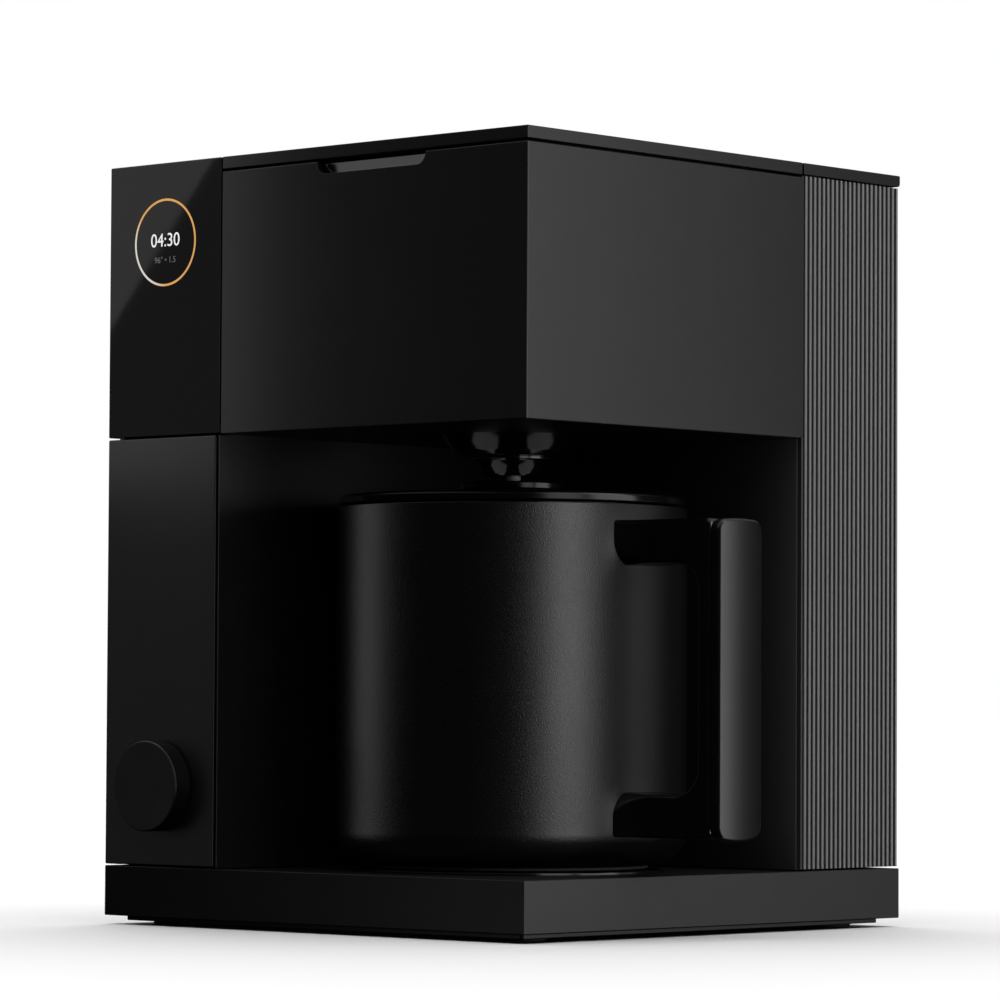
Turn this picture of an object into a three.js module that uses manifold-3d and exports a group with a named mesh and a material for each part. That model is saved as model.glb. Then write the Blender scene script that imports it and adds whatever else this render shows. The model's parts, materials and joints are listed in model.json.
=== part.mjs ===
// Countertop drip coffee brewer with a thermal carafe, built as an assembly.
// Millimetres. X points right, Y points to the back, Z points up, the floor is Z = 0.
// Every piece is drawn around the middle of the machine's footprint. The whole group is
// shifted at the end, so that the origin is under the middle of the complete object.

import * as THREE from "three";
import { mergeVertices } from "three/addons/utils/BufferGeometryUtils.js";
import Module from "manifold-3d";

const wasm = await Module();
wasm.setup();

// ---------------------------------------------------------------- driving dimensions

const GAP = 0.3; // clearance left between fixed neighbours
const ROUND = 28; // flats round a large circle

const BODY_WIDTH = 228;
const BODY_DEPTH = 226;
const BODY_HEIGHT = 305;
const LEFT = -BODY_WIDTH / 2;
const RIGHT = BODY_WIDTH / 2;
const FRONT = -BODY_DEPTH / 2;
const BACK = BODY_DEPTH / 2;
const TOP = BODY_HEIGHT;

// Base: a hollow slab on a recessed plinth with four feet.
const SLAB_BOTTOM = 3.5;
const SLAB_TOP = 23.5;
const SLAB_SIDE_WALL = 8;
const SLAB_TOP_WALL = 4;
const PLINTH_INSET = 6;
const PLINTH_BOTTOM = 1.5;
const FOOT_RADIUS = 9.75;
const FOOT_INSET = 21;

// Column on the left, which holds the electronics, the pump and the heater.
const COLUMN_RIGHT = -49.7;
const COLUMN_WALL = 2.6;
const PANEL_THICKNESS = 6;
const PANEL_BACK = FRONT + PANEL_THICKNESS;
const PANEL_SPLIT = 195.1; // height of the gap between the display glass and the lower panel
const PANEL_SPLIT_GAP = 0.8;
const GLASS_RIGHT = -50.2;
const LOWER_PANEL_RIGHT = -51.9;
const DISPLAY_X = -81.7;
const DISPLAY_Z = 273;
const KNOB_Z = 55.8;
const KNOB_RADIUS = 18;
const KNOB_FRONT = FRONT - 9;
const KNOB_BACK = FRONT - 1; // the knob stands off the panel by more than it can be pressed
const KNOB_HOLE_RADIUS = 4.2;

// Brew chamber over the carafe bay.
const CHAMBER_LEFT = -49.4;
const CHAMBER_BOTTOM = 195;
const CHAMBER_TOP = 299.2;
const CHAMBER_BACK = 50.6;
const CHAMBER_WALL = 3;
const BREW_X = 32.3; // upright axis shared by the basket, the outlet and the carafe
const BREW_Y = -31;
const NOTCH_WIDTH = 58;
const NOTCH_CORNER = 4.6;
const NOTCH_DEPTH = 5;

// Lid, a slab of full plan size with its hinge line inside the slab's rear edge.
const LID_THICKNESS = 4.8;
const LID_BOTTOM = TOP - LID_THICKNESS;
const LID_LEFT = -49.2;
const LID_BACK = 49.9;
const HINGE_Y = LID_BACK - LID_THICKNESS / 2;
const HINGE_Z = TOP - LID_THICKNESS / 2;
const HINGE_CENTRES = [-25, 90];
const HINGE_PIN_RADIUS = 1;
const HINGE_KNUCKLE_RADIUS = 2.2;
const HINGE_NOTCH_WIDTH = 12;
const HINGE_LEG_FRONT = 45.3;
const HINGE_LEG_THICKNESS = 2;
const HINGE_PIN_HALF_LENGTH = 13;

// Removable water tank behind the chamber, ribbed outside.
const TANK_LEFT = -48.9;
const TANK_RIGHT = RIGHT - 0.4;
const TANK_BACK = BACK - 0.4;
const TANK_FRONT = 54.2;
const TANK_LIP_FRONT = 51.3; // the right wall reaches forward to the chamber's rear edge
const TANK_LIP_LEFT = 111;
const TANK_BOTTOM = 24.3;
const TANK_FLOOR = 40;
const TANK_TOP = 299.9;
const TANK_WALL = 2.5;
const TANK_SLIDE_GAP = 0.8; // room in front of the tank as it slides up
const RIB_PITCH = 2.8;
const RIB_DEPTH = 0.8;
const RIB_TIP = 0.1; // distance of the rib tops in from the tank's stated sides
const RIB_WIDTH = 1.3;
const RIB_SLOPE = 0.2;
const RIB_STRIP = 0.3; // smooth strip before the first rib
const TANK_LID_BOTTOM = 300.4;
const TANK_LID_FRONT = 50.9;
const DOCK_X = -30;
const DOCK_Y = 82;
const DOCK_PIN_TOP = 33.3; // top of the pin that opens the tank's valve

// Carafe.
const CARAFE_RADIUS = 69.2;
const CARAFE_BOTTOM = 24.9;
const CARAFE_RIM = 166.3;
const CARAFE_CORNER = 13;
const CARAFE_SKIN = 1;
const HANDLE_WIDTH = 24.3;
const HANDLE_RIGHT = 149.4;
const HANDLE_SEAM = 145; // the inner frame ends here and the outer cover starts
const HANDLE_INNER = 138.3;
const HANDLE_TOP = 159.2;
const HANDLE_BOTTOM = 40;
const HANDLE_ARM = 16;

// ---------------------------------------------------------------- finishes

function finish(color, roughness, metalness = 0) {
  return { color, roughness, metalness };
}

const SATIN_BLACK = finish(0x17181a, 0.5);
const DARK_CASE = finish(0x101112, 0.45);
const GLOSS_BLACK = finish(0x08090a, 0.12);
const RIBBED_GREY = finish(0x242527, 0.45);
const RUBBER = finish(0x0d0d0d, 0.9);
const SILICONE = finish(0x8d8f90, 0.6);
const COATED_STEEL = finish(0x111213, 0.55, 0.2);
const BARE_STEEL = finish(0xb4b6b8, 0.3, 1);
const ALUMINIUM = finish(0xa5a8ab, 0.4, 1);
const BOARD_GREEN = finish(0x16422c, 0.6);
const INNER_PLASTIC = finish(0x2a2b2d, 0.6);
const FLOAT_WHITE = finish(0xd8d8d4, 0.6);

// ---------------------------------------------------------------- solids: build, join, cut

function toSolid(geometry) {
  const bare = geometry.clone();
  bare.deleteAttribute("normal");
  bare.deleteAttribute("uv");
  const merged = mergeVertices(bare, 1e-4);
  const triangles = [];
  for (let i = 0; i < merged.index.count; i += 3) {
    const [a, b, c] = [0, 1, 2].map((corner) => merged.index.getX(i + corner));
    if (a !== b && b !== c && c !== a) triangles.push(a, b, c);
  }
  return new wasm.Manifold(new wasm.Mesh({
    numProp: 3,
    vertProperties: new Float32Array(merged.attributes.position.array),
    triVerts: new Uint32Array(triangles),
  }));
}

function toGeometry(solid) {
  const mesh = solid.getMesh();
  const geometry = new THREE.BufferGeometry();
  geometry.setAttribute("position", new THREE.BufferAttribute(mesh.vertProperties, 3));
  geometry.setIndex(new THREE.BufferAttribute(mesh.triVerts, 1));
  geometry.computeVertexNormals();
  return geometry;
}

function join(first, ...others) {
  const solid = others.reduce((sum, other) => sum.add(toSolid(other)), toSolid(first));
  return toGeometry(solid);
}

function cut(base, ...tools) {
  const solid = tools.reduce((rest, tool) => rest.subtract(toSolid(tool)), toSolid(base));
  return toGeometry(solid);
}

// ---------------------------------------------------------------- shapes

// Box between two opposite corners.
function block([x0, y0, z0], [x1, y1, z1]) {
  const geometry = new THREE.BoxGeometry(x1 - x0, y1 - y0, z1 - z0);
  return geometry.translate((x0 + x1) / 2, (y0 + y1) / 2, (z0 + z1) / 2);
}

// Points of an arc from one angle to another, in degrees.
function arc(centreA, centreB, radius, from, to, steps) {
  const points = [];
  for (let i = 0; i <= steps; i += 1) {
    const angle = THREE.MathUtils.degToRad(from + ((to - from) * i) / steps);
    points.push([centreA + radius * Math.cos(angle), centreB + radius * Math.sin(angle)]);
  }
  return points;
}

// Twice the signed area of an outline; positive when it runs anticlockwise.
function signedArea(points) {
  return points.reduce((sum, [a, b], i) => {
    const [nextA, nextB] = points[(i + 1) % points.length];
    return sum + a * nextB - nextA * b;
  }, 0);
}

// Body of revolution around Z. The profile lists [radius, z] and either starts and ends
// on the axis or is a closed ring.
function lathe(profile, segments = ROUND) {
  const upright = signedArea(profile) > 0 ? profile : [...profile].reverse();
  const onAxis = upright.some(([radius]) => radius === 0);
  const firstOnAxis = upright.findIndex(([radius], i) => {
    const [before] = upright[(i + upright.length - 1) % upright.length];
    return radius === 0 && before === 0;
  });
  const start = onAxis ? Math.max(firstOnAxis, 0) : 0;
  const ordered = [...upright.slice(start), ...upright.slice(0, start)];
  if (!onAxis) ordered.push(ordered[0]);
  const points = ordered.map(([radius, z]) => new THREE.Vector2(radius, z));
  return new THREE.LatheGeometry(points, segments).rotateX(Math.PI / 2);
}

// Round rod along an axis through a point, from one place to another on that axis.
function rod(axis, radius, from, to, [a, b], segments = 16) {
  const geometry = new THREE.CylinderGeometry(radius, radius, to - from, segments);
  const middle = (from + to) / 2;
  if (axis === "x") return geometry.rotateZ(Math.PI / 2).translate(middle, a, b);
  if (axis === "y") return geometry.translate(a, middle, b);
  return geometry.rotateX(Math.PI / 2).translate(a, b, middle);
}

// Outline through [a, b] points, with optional round holes given as [a, b, radius].
function outline(points, holes = []) {
  const shape = new THREE.Shape(points.map(([a, b]) => new THREE.Vector2(a, b)));
  for (const [a, b, radius] of holes) {
    shape.holes.push(new THREE.Path().absarc(a, b, radius, 0, Math.PI * 2, true));
  }
  return shape;
}

// Outline of a rectangle with round corners.
function roundedRectangle(a0, b0, a1, b1, radius, steps = 3) {
  return [
    ...arc(a1 - radius, b0 + radius, radius, -90, 0, steps),
    ...arc(a1 - radius, b1 - radius, radius, 0, 90, steps),
    ...arc(a0 + radius, b1 - radius, radius, 90, 180, steps),
    ...arc(a0 + radius, b0 + radius, radius, 180, 270, steps),
  ];
}

// Extrusion along an axis. The outline is in (y, z) for X, in (x, z) for Y, in (x, y) for Z.
// An edge value adds a chamfer of that size round both ends, inside the given length.
function extrude(axis, shape, from, to, { edge = 0, curveSegments = 12 } = {}) {
  const geometry = new THREE.ExtrudeGeometry(shape, {
    depth: to - from - 2 * edge,
    bevelEnabled: edge > 0,
    bevelSize: edge,
    bevelOffset: -edge,
    bevelThickness: edge,
    bevelSegments: 1,
    curveSegments,
  });
  if (axis === "y") return geometry.rotateX(Math.PI / 2).translate(0, to - edge, 0);
  if (axis === "x") {
    const cyclic = new THREE.Matrix4().set(0, 0, 1, 0, 1, 0, 0, 0, 0, 1, 0, 0, 0, 0, 0, 1);
    return geometry.applyMatrix4(cyclic).translate(from + edge, 0, 0);
  }
  return geometry.translate(0, 0, from + edge);
}

// Hollow hose along a smooth curve through the given points.
function hose(points, steps) {
  const ring = new THREE.Shape().absarc(0, 0, HOSE_RADIUS, 0, Math.PI * 2, false);
  ring.holes.push(new THREE.Path().absarc(0, 0, HOSE_BORE_RADIUS, 0, Math.PI * 2, true));
  const path = new THREE.CatmullRomCurve3(points.map(([x, y, z]) => new THREE.Vector3(x, y, z)));
  return new THREE.ExtrudeGeometry(ring, { steps, curveSegments: 3, extrudePath: path });
}

function piece(name, geometry, { color, roughness, metalness }) {
  const material = new THREE.MeshStandardMaterial({ color, roughness, metalness });
  const mesh = new THREE.Mesh(toGeometry(toSolid(geometry)), material);
  mesh.name = name;
  return mesh;
}

// Piece drawn around its own upright axis and stood on the brewing axis.
function pieceOnBrewAxis(name, geometry, look) {
  const mesh = piece(name, geometry, look);
  mesh.position.set(BREW_X, BREW_Y, 0);
  return mesh;
}

// ---------------------------------------------------------------- base

const FOOT_CENTRES = {
  foot_front_left: [LEFT + FOOT_INSET, FRONT + FOOT_INSET],
  foot_front_right: [RIGHT - FOOT_INSET, FRONT + FOOT_INSET],
  foot_back_left: [LEFT + FOOT_INSET, BACK - FOOT_INSET],
  foot_back_right: [RIGHT - FOOT_INSET, BACK - FOOT_INSET],
};
const FOOT_RECESS = 0.9;
const PLATFORM_RADIUS = 60;
const PLATFORM_RECESS_Z = 22.8;
const PLATFORM_TOP = 24.6;

function baseSlab() {
  const pocketTop = SLAB_TOP - SLAB_TOP_WALL;
  const ribWidth = 2.4;
  const across = 3;
  const pocketWidth = (BODY_WIDTH - 2 * SLAB_SIDE_WALL - (across - 1) * ribWidth) / across;
  const pocketDepth = (BODY_DEPTH - 2 * SLAB_SIDE_WALL - (across - 1) * ribWidth) / across;
  const pockets = [];
  for (let column = 0; column < across; column += 1) {
    for (let row = 0; row < across; row += 1) {
      const x = LEFT + SLAB_SIDE_WALL + column * (pocketWidth + ribWidth);
      const y = FRONT + SLAB_SIDE_WALL + row * (pocketDepth + ribWidth);
      pockets.push(block([x, y, 0], [x + pocketWidth, y + pocketDepth, pocketTop]));
    }
  }
  const recess = rod(
    "z", PLATFORM_RADIUS + 0.4, PLATFORM_RECESS_Z, TOP, [BREW_X, BREW_Y], ROUND);
  const slab = block([LEFT, FRONT, SLAB_BOTTOM], [RIGHT, BACK, SLAB_TOP]);
  return piece("base_slab", cut(slab, ...pockets, recess), DARK_CASE);
}

function basePlinth() {
  const plate = extrude(
    "z",
    outline(roundedRectangle(
      LEFT + PLINTH_INSET, FRONT + PLINTH_INSET, RIGHT - PLINTH_INSET, BACK - PLINTH_INSET, 2)),
    PLINTH_BOTTOM,
    SLAB_BOTTOM - GAP,
  );
  const recesses = Object.values(FOOT_CENTRES).map((centre) =>
    rod("z", FOOT_RADIUS + GAP, 0, PLINTH_BOTTOM + FOOT_RECESS, centre, 20));
  return piece("base_plinth", cut(plate, ...recesses), DARK_CASE);
}

function foot(name, [x, y]) {
  const top = PLINTH_BOTTOM + FOOT_RECESS - GAP;
  const round = 0.5;
  const profile = [
    [0, 0],
    ...arc(FOOT_RADIUS - round, round, round, -90, 0, 2),
    [FOOT_RADIUS, top],
    [0, top],
  ];
  const mesh = piece(name, lathe(profile, 20), RUBBER);
  mesh.position.set(x, y, 0);
  return mesh;
}

function carafePlatform() {
  const bottom = PLATFORM_RECESS_Z + GAP;
  const chamfer = 0.5;
  const profile = [
    [0, bottom],
    [PLATFORM_RADIUS, bottom],
    [PLATFORM_RADIUS, PLATFORM_TOP - chamfer],
    [PLATFORM_RADIUS - chamfer, PLATFORM_TOP],
    [0, PLATFORM_TOP],
  ];
  return pieceOnBrewAxis("carafe_platform", lathe(profile), GLOSS_BLACK);
}

// ---------------------------------------------------------------- column

const COLUMN_FLOOR = SLAB_TOP + GAP;
const COLUMN_CEILING = LID_BOTTOM - GAP;
const FRAME_LEFT = COLUMN_RIGHT - COLUMN_WALL;
const INLET_X = -82;
const INLET_Z = 50;
const INLET_WIDTH = 28;
const INLET_HEIGHT = 21;
const HOSE_PASS_Z = 28.5; // height at which the tank's hose enters the column
const HOSE_PASS_TOP = 35;
const HOSE_PASS_HALF_WIDTH = 6;
const PORT_X = -36;
const PORT_Y = 36;
const PORT_Z = 275; // height at which the water port's pipe leaves the column
const PORT_TOP = 290;
const PORT_RADIUS = 4;
const PORT_BORE = 2.4;
const BOARD = { left: -58.1, front: -95, back: 10, bottom: 120, top: 235, thickness: 1.6 };
// Relay, transformer, processor and terminal block, each by how far it stands off the board.
const BOARD_PARTS = [
  { height: 15, front: -80, back: -61, bottom: 190, top: 205 },
  { height: 17, front: -52, back: -26, bottom: 185, top: 208 },
  { height: 1.6, front: -60, back: -46, bottom: 150, top: 164 },
  { height: 9, front: -20, back: -10, bottom: 132, top: 160 },
];
const CAPACITOR = { radius: 6, height: 16, centre: [-12, 195] };
const BOARD_HOLE_INSET = 5;
const PANEL_CHAMFER = 0.7;

function columnCover() {
  const front = PANEL_BACK + GAP;
  const plan = outline([
    [LEFT, front],
    [LEFT + COLUMN_WALL, front],
    [LEFT + COLUMN_WALL, BACK - COLUMN_WALL],
    [COLUMN_RIGHT, BACK - COLUMN_WALL],
    [COLUMN_RIGHT, BACK],
    [LEFT, BACK],
  ]);
  const shell = extrude("z", plan, COLUMN_FLOOR, COLUMN_CEILING);
  const inletHole = block(
    [INLET_X - INLET_WIDTH / 2, BACK - 2 * COLUMN_WALL, INLET_Z - INLET_HEIGHT / 2],
    [INLET_X + INLET_WIDTH / 2, BACK + 1, INLET_Z + INLET_HEIGHT / 2],
  );
  const slot = { count: 7, pitch: 8, width: 38, height: 3, bottom: 196 };
  const slots = [];
  for (let i = 0; i < slot.count; i += 1) {
    const z = slot.bottom + i * slot.pitch;
    slots.push(block(
      [INLET_X - slot.width / 2, BACK - 2 * COLUMN_WALL, z],
      [INLET_X + slot.width / 2, BACK + 1, z + slot.height],
    ));
  }
  return piece("column_cover", cut(shell, inletHole, ...slots), SATIN_BLACK);
}

function columnFrame() {
  const lipThickness = 0.6;
  const wall = block(
    [FRAME_LEFT, PANEL_BACK + GAP, COLUMN_FLOOR],
    [COLUMN_RIGHT, BACK - COLUMN_WALL - GAP, COLUMN_CEILING],
  );
  const lip = block(
    [COLUMN_RIGHT - lipThickness, FRONT, COLUMN_FLOOR],
    [COLUMN_RIGHT, PANEL_BACK + 1, CHAMBER_BOTTOM - GAP],
  );
  const bossRadius = 3;
  const bosses = [];
  for (const y of [BOARD.front + BOARD_HOLE_INSET, BOARD.back - BOARD_HOLE_INSET]) {
    for (const z of [BOARD.bottom + BOARD_HOLE_INSET, BOARD.top - BOARD_HOLE_INSET]) {
      const from = BOARD.left + BOARD.thickness + GAP;
      bosses.push(rod("x", bossRadius, from, FRAME_LEFT + 1, [y, z], 10));
    }
  }
  const hosePass = block(
    [FRAME_LEFT - 1, DOCK_Y - HOSE_PASS_HALF_WIDTH, 0],
    [COLUMN_RIGHT + 1, DOCK_Y + HOSE_PASS_HALF_WIDTH, HOSE_PASS_TOP],
  );
  const portPass = rod("x", PASS_RADIUS, FRAME_LEFT - 1, COLUMN_RIGHT + 1, [PORT_Y, PORT_Z], 16);
  return piece("column_frame", cut(join(wall, lip, ...bosses), hosePass, portPass), DARK_CASE);
}

function columnTop() {
  const plate = block([LEFT, PANEL_BACK + GAP, LID_BOTTOM], [GLASS_RIGHT, BACK, TOP]);
  return piece("column_top", plate, SATIN_BLACK);
}

function displayGlass() {
  const bottom = PANEL_SPLIT + PANEL_SPLIT_GAP / 2;
  const face = outline([[LEFT, bottom], [GLASS_RIGHT, bottom], [GLASS_RIGHT, TOP], [LEFT, TOP]]);
  return piece("display_glass", extrude("y", face, FRONT, PANEL_BACK, { edge: 0.5 }), GLOSS_BLACK);
}

function displayModule() {
  const front = PANEL_BACK + GAP;
  const boardFront = front + 4;
  const boardBack = boardFront + BOARD.thickness;
  const [screenRadius, halfBoard] = [20, 25];
  const socketSize = { halfWidth: 8, bottom: DISPLAY_Z - 22, top: DISPLAY_Z - 16, depth: 3.4 };
  const screen = rod(
    "y", screenRadius, front, boardFront + 1, [DISPLAY_X, DISPLAY_Z], 32);
  const board = block(
    [DISPLAY_X - halfBoard, boardFront, DISPLAY_Z - halfBoard],
    [DISPLAY_X + halfBoard, boardBack, DISPLAY_Z + halfBoard],
  );
  const socket = block(
    [DISPLAY_X - socketSize.halfWidth, boardFront + 1, socketSize.bottom],
    [DISPLAY_X + socketSize.halfWidth, boardBack + socketSize.depth, socketSize.top],
  );
  return piece("display_module", join(screen, board, socket), BOARD_GREEN);
}

function controlPanel() {
  const top = PANEL_SPLIT - PANEL_SPLIT_GAP / 2;
  const bottom = SLAB_TOP + 0.6;
  const right = LOWER_PANEL_RIGHT;
  const face = outline(
    [[LEFT, bottom], [right, bottom], [right, top], [LEFT, top]],
    [[DISPLAY_X, KNOB_Z, KNOB_HOLE_RADIUS]],
  );
  const panel = extrude("y", face, FRONT, PANEL_BACK, { edge: PANEL_CHAMFER });
  return piece("control_panel", panel, SATIN_BLACK);
}

// ---------------------------------------------------------------- knob and encoder

const SHAFT_RADIUS = 3;
const SHAFT_BORE_RADIUS = 3.1;
const SHAFT_FRONT = KNOB_FRONT + 2.5;
const SHAFT_BACK = -103;
const ENCODER_FRONT = PANEL_BACK + GAP;
const ENCODER_BACK = -98.5;

function encoderBody() {
  const [halfWidth, halfHeight] = [7, 6.5];
  const housing = block(
    [DISPLAY_X - halfWidth, ENCODER_FRONT, KNOB_Z - halfHeight],
    [DISPLAY_X + halfWidth, ENCODER_BACK, KNOB_Z + halfHeight],
  );
  const pressTravelRoom = 1.5;
  const bore = rod(
    "y", SHAFT_BORE_RADIUS, ENCODER_FRONT - 1, SHAFT_BACK + pressTravelRoom,
    [DISPLAY_X, KNOB_Z], 24,
  );
  return piece("encoder_body", cut(housing, bore), INNER_PLASTIC);
}

function encoderShaft() {
  const shaft = rod("y", SHAFT_RADIUS, SHAFT_FRONT, SHAFT_BACK, [DISPLAY_X, KNOB_Z], 24);
  return piece("encoder_shaft", shaft, BARE_STEEL);
}

function knob() {
  const depth = KNOB_BACK - KNOB_FRONT;
  const chamfer = 0.5;
  const faceThickness = 2.2;
  const rimThickness = 2;
  const bossRadius = 6;
  const boreDepth = SHAFT_FRONT - KNOB_FRONT - GAP; // material left in front of the shaft
  const profile = [
    [0, 0],
    [KNOB_RADIUS - chamfer, 0],
    [KNOB_RADIUS, chamfer],
    [KNOB_RADIUS, depth],
    [KNOB_RADIUS - rimThickness, depth],
    [KNOB_RADIUS - rimThickness, faceThickness],
    [bossRadius, faceThickness],
    [bossRadius, depth],
    [SHAFT_BORE_RADIUS, depth],
    [SHAFT_BORE_RADIUS, boreDepth],
    [0, boreDepth],
  ];
  const mesh = piece("knob", lathe(profile).rotateX(-Math.PI / 2), SATIN_BLACK);
  mesh.position.set(DISPLAY_X, KNOB_FRONT, KNOB_Z);
  return mesh;
}

// ---------------------------------------------------------------- pieces inside the column

const PUMP_X = -82;
const PUMP_Z = 60;
const PUMP_RADIUS = 15;
const PUMP_HEAD_FRONT = -42;
const PUMP_SPLIT = -20;
const PUMP_BACK = 25;
const PUMP_INLET = [-90, -31];
const PUMP_OUTLET = [-74, -31];
const PUMP_NIPPLE_TOP = 84;
const NIPPLE_RADIUS = 2.3;
const NIPPLE_BORE = 1.3;
const PASS_RADIUS = 3.2; // holes that let a nipple or a bent pipe through a wall
const HEATER = { x: -84, y: 62, radius: 18, bottom: 128, top: 240 };
const HEATER_NIPPLE = 9;
const HOSE_RADIUS = 4;
const HOSE_BORE_RADIUS = 2.85;

function mainBoard() {
  const face = BOARD.left + GAP;
  const board = block(
    [BOARD.left, BOARD.front, BOARD.bottom],
    [BOARD.left + BOARD.thickness, BOARD.back, BOARD.top],
  );
  const parts = BOARD_PARTS.map((part) => block(
    [BOARD.left - part.height, part.front, part.bottom],
    [face, part.back, part.top],
  ));
  const { radius, height, centre } = CAPACITOR;
  const capacitor = rod("x", radius, BOARD.left - height, face, centre, 16);
  return piece("main_board", join(board, ...parts, capacitor), BOARD_GREEN);
}

function pumpMotor() {
  const can = rod("y", PUMP_RADIUS, PUMP_SPLIT + GAP, PUMP_BACK, [PUMP_X, PUMP_Z], 32);
  const [bossRadius, bossLength] = [5, 4];
  const endBoss = rod(
    "y", bossRadius, PUMP_BACK - 1, PUMP_BACK + bossLength, [PUMP_X, PUMP_Z], 16);
  return piece("pump_motor", join(can, endBoss), BARE_STEEL);
}

function pumpHead() {
  const body = block(
    [PUMP_X - PUMP_RADIUS, PUMP_HEAD_FRONT, PUMP_Z - PUMP_RADIUS],
    [PUMP_X + PUMP_RADIUS, PUMP_SPLIT, PUMP_Z + PUMP_RADIUS],
  );
  const nipples = [PUMP_INLET, PUMP_OUTLET].map((centre) =>
    rod("z", NIPPLE_RADIUS, PUMP_Z + PUMP_RADIUS - 1, PUMP_NIPPLE_TOP, centre, 12));
  return piece("pump_head", join(body, ...nipples), INNER_PLASTIC);
}

function pumpBracket() {
  const thickness = 2.2;
  const foot = { halfWidth: 18, front: -16, back: 18 };
  const post = { halfWidth: 12, front: -6, back: 10, top: PUMP_Z - PUMP_RADIUS / 2 };
  const base = block(
    [PUMP_X - foot.halfWidth, foot.front, COLUMN_FLOOR],
    [PUMP_X + foot.halfWidth, foot.back, COLUMN_FLOOR + thickness],
  );
  const saddle = block(
    [PUMP_X - post.halfWidth, post.front, COLUMN_FLOOR + 1],
    [PUMP_X + post.halfWidth, post.back, post.top],
  );
  const seat = rod("y", PUMP_RADIUS + GAP, PUMP_SPLIT, PUMP_BACK, [PUMP_X, PUMP_Z], 32);
  return piece("pump_bracket", cut(join(base, saddle), seat), BARE_STEEL);
}

function flowHeater() {
  const barrelEnd = 3;
  const { x, y, radius, bottom, top } = HEATER;
  const profile = [
    [0, bottom - HEATER_NIPPLE],
    [NIPPLE_RADIUS, bottom - HEATER_NIPPLE],
    [NIPPLE_RADIUS, bottom],
    [radius - barrelEnd, bottom],
    [radius, bottom + barrelEnd],
    [radius, top - barrelEnd],
    [radius - barrelEnd, top],
    [NIPPLE_RADIUS, top],
    [NIPPLE_RADIUS, top + HEATER_NIPPLE],
    [0, top + HEATER_NIPPLE],
  ];
  const mesh = piece("flow_heater", lathe(profile, 28), ALUMINIUM);
  mesh.position.set(x, y, 0);
  return mesh;
}

function heaterBracket() {
  const bandThickness = 2.5;
  const armHalfWidth = 6;
  const [low, high] = [176, 190];
  const { x, y, radius } = HEATER;
  const band = rod("z", radius + GAP + bandThickness, low, high, [x, y], 28);
  const arm = block([x, y - armHalfWidth, low], [FRAME_LEFT - GAP, y + armHalfWidth, high]);
  const seat = rod("z", radius + GAP, low - 1, high + 1, [x, y], 28);
  return piece("heater_bracket", cut(join(band, arm), seat), BARE_STEEL);
}

function hoses() {
  const overPump = PUMP_Z + 16.5; // just above the pump head's top
  const tankHose = hose([
    [-46, DOCK_Y, HOSE_PASS_Z], [-52, DOCK_Y, HOSE_PASS_Z], [-58, DOCK_Y, HOSE_PASS_Z],
    [-80, 77, 31], [-97, 60, 46], [-103, 34, 74], [-104, 2, 102], [-98, -22, 114],
    [-91, -31, 108], [...PUMP_INLET, 94], [...PUMP_INLET, 85], [...PUMP_INLET, overPump],
  ], 20);
  const pumpHose = hose([
    [...PUMP_OUTLET, overPump], [...PUMP_OUTLET, 81], [...PUMP_OUTLET, 87], [-74, -24, 103],
    [-75, 2, 108], [-79, 28, 98], [-82, 48, 88], [-84, 60, 94], [HEATER.x, HEATER.y, 108],
    [HEATER.x, HEATER.y, 118], [HEATER.x, HEATER.y, HEATER.bottom - 1],
  ], 18);
  const riserHose = hose([
    [HEATER.x, HEATER.y, HEATER.top + 1], [HEATER.x, HEATER.y, 246],
    [HEATER.x, HEATER.y, 252], [-82, 57, 265], [-75, 42, 274], [-65, PORT_Y, PORT_Z],
    [-59, PORT_Y, PORT_Z], [FRAME_LEFT - 1, PORT_Y, PORT_Z],
  ], 12);
  return [
    piece("tank_hose", tankHose, SILICONE),
    piece("pump_hose", pumpHose, SILICONE),
    piece("riser_hose", riserHose, SILICONE),
  ];
}

function powerInlet() {
  const wall = 1.6;
  const depth = 17;
  const back = BACK - GAP;
  const low = [INLET_X - INLET_WIDTH / 2 + GAP, back - depth, INLET_Z - INLET_HEIGHT / 2 + GAP];
  const high = [INLET_X + INLET_WIDTH / 2 - GAP, back, INLET_Z + INLET_HEIGHT / 2 - GAP];
  const cavity = block(
    [low[0] + wall, low[1] + wall, low[2] + wall],
    [high[0] - wall, back + 1, high[2] - wall],
  );
  const [halfWidth, halfHeight, recess] = [1, 2, 4];
  const contact = ([x, z]) => block(
    [INLET_X + x - halfWidth, low[1] + 1, INLET_Z + z - halfHeight],
    [INLET_X + x + halfWidth, back - recess, INLET_Z + z + halfHeight],
  );
  const contacts = [[-7, 1.5], [7, 1.5], [0, 4.5]].map(contact);
  return piece("power_inlet", join(cut(block(low, high), cavity), ...contacts), GLOSS_BLACK);
}

// ---------------------------------------------------------------- brew chamber

const CHAMBER_INNER = {
  left: CHAMBER_LEFT + CHAMBER_WALL,
  right: RIGHT - CHAMBER_WALL,
  front: FRONT + CHAMBER_WALL,
  back: CHAMBER_BACK - CHAMBER_WALL,
};
const CHAMBER_FLOOR = CHAMBER_BOTTOM + CHAMBER_WALL;
const OUTLET_RADIUS = 28.7;
const WELL_FLOOR = 200.3;
const WELL_RADIUS = 64;
const WELL_WALL = 2;
const DECK_BOTTOM = 288;
const DECK_TOP = 290.5;
const OUTLET_FLANGE_RADIUS = 36;
const OUTLET_FLANGE_TOP = 200;
const SCOOP_BACK = -101;
const SCOOP_BOTTOM = 286;
const SCOOP_CENTRE_Y = -107;

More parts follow.
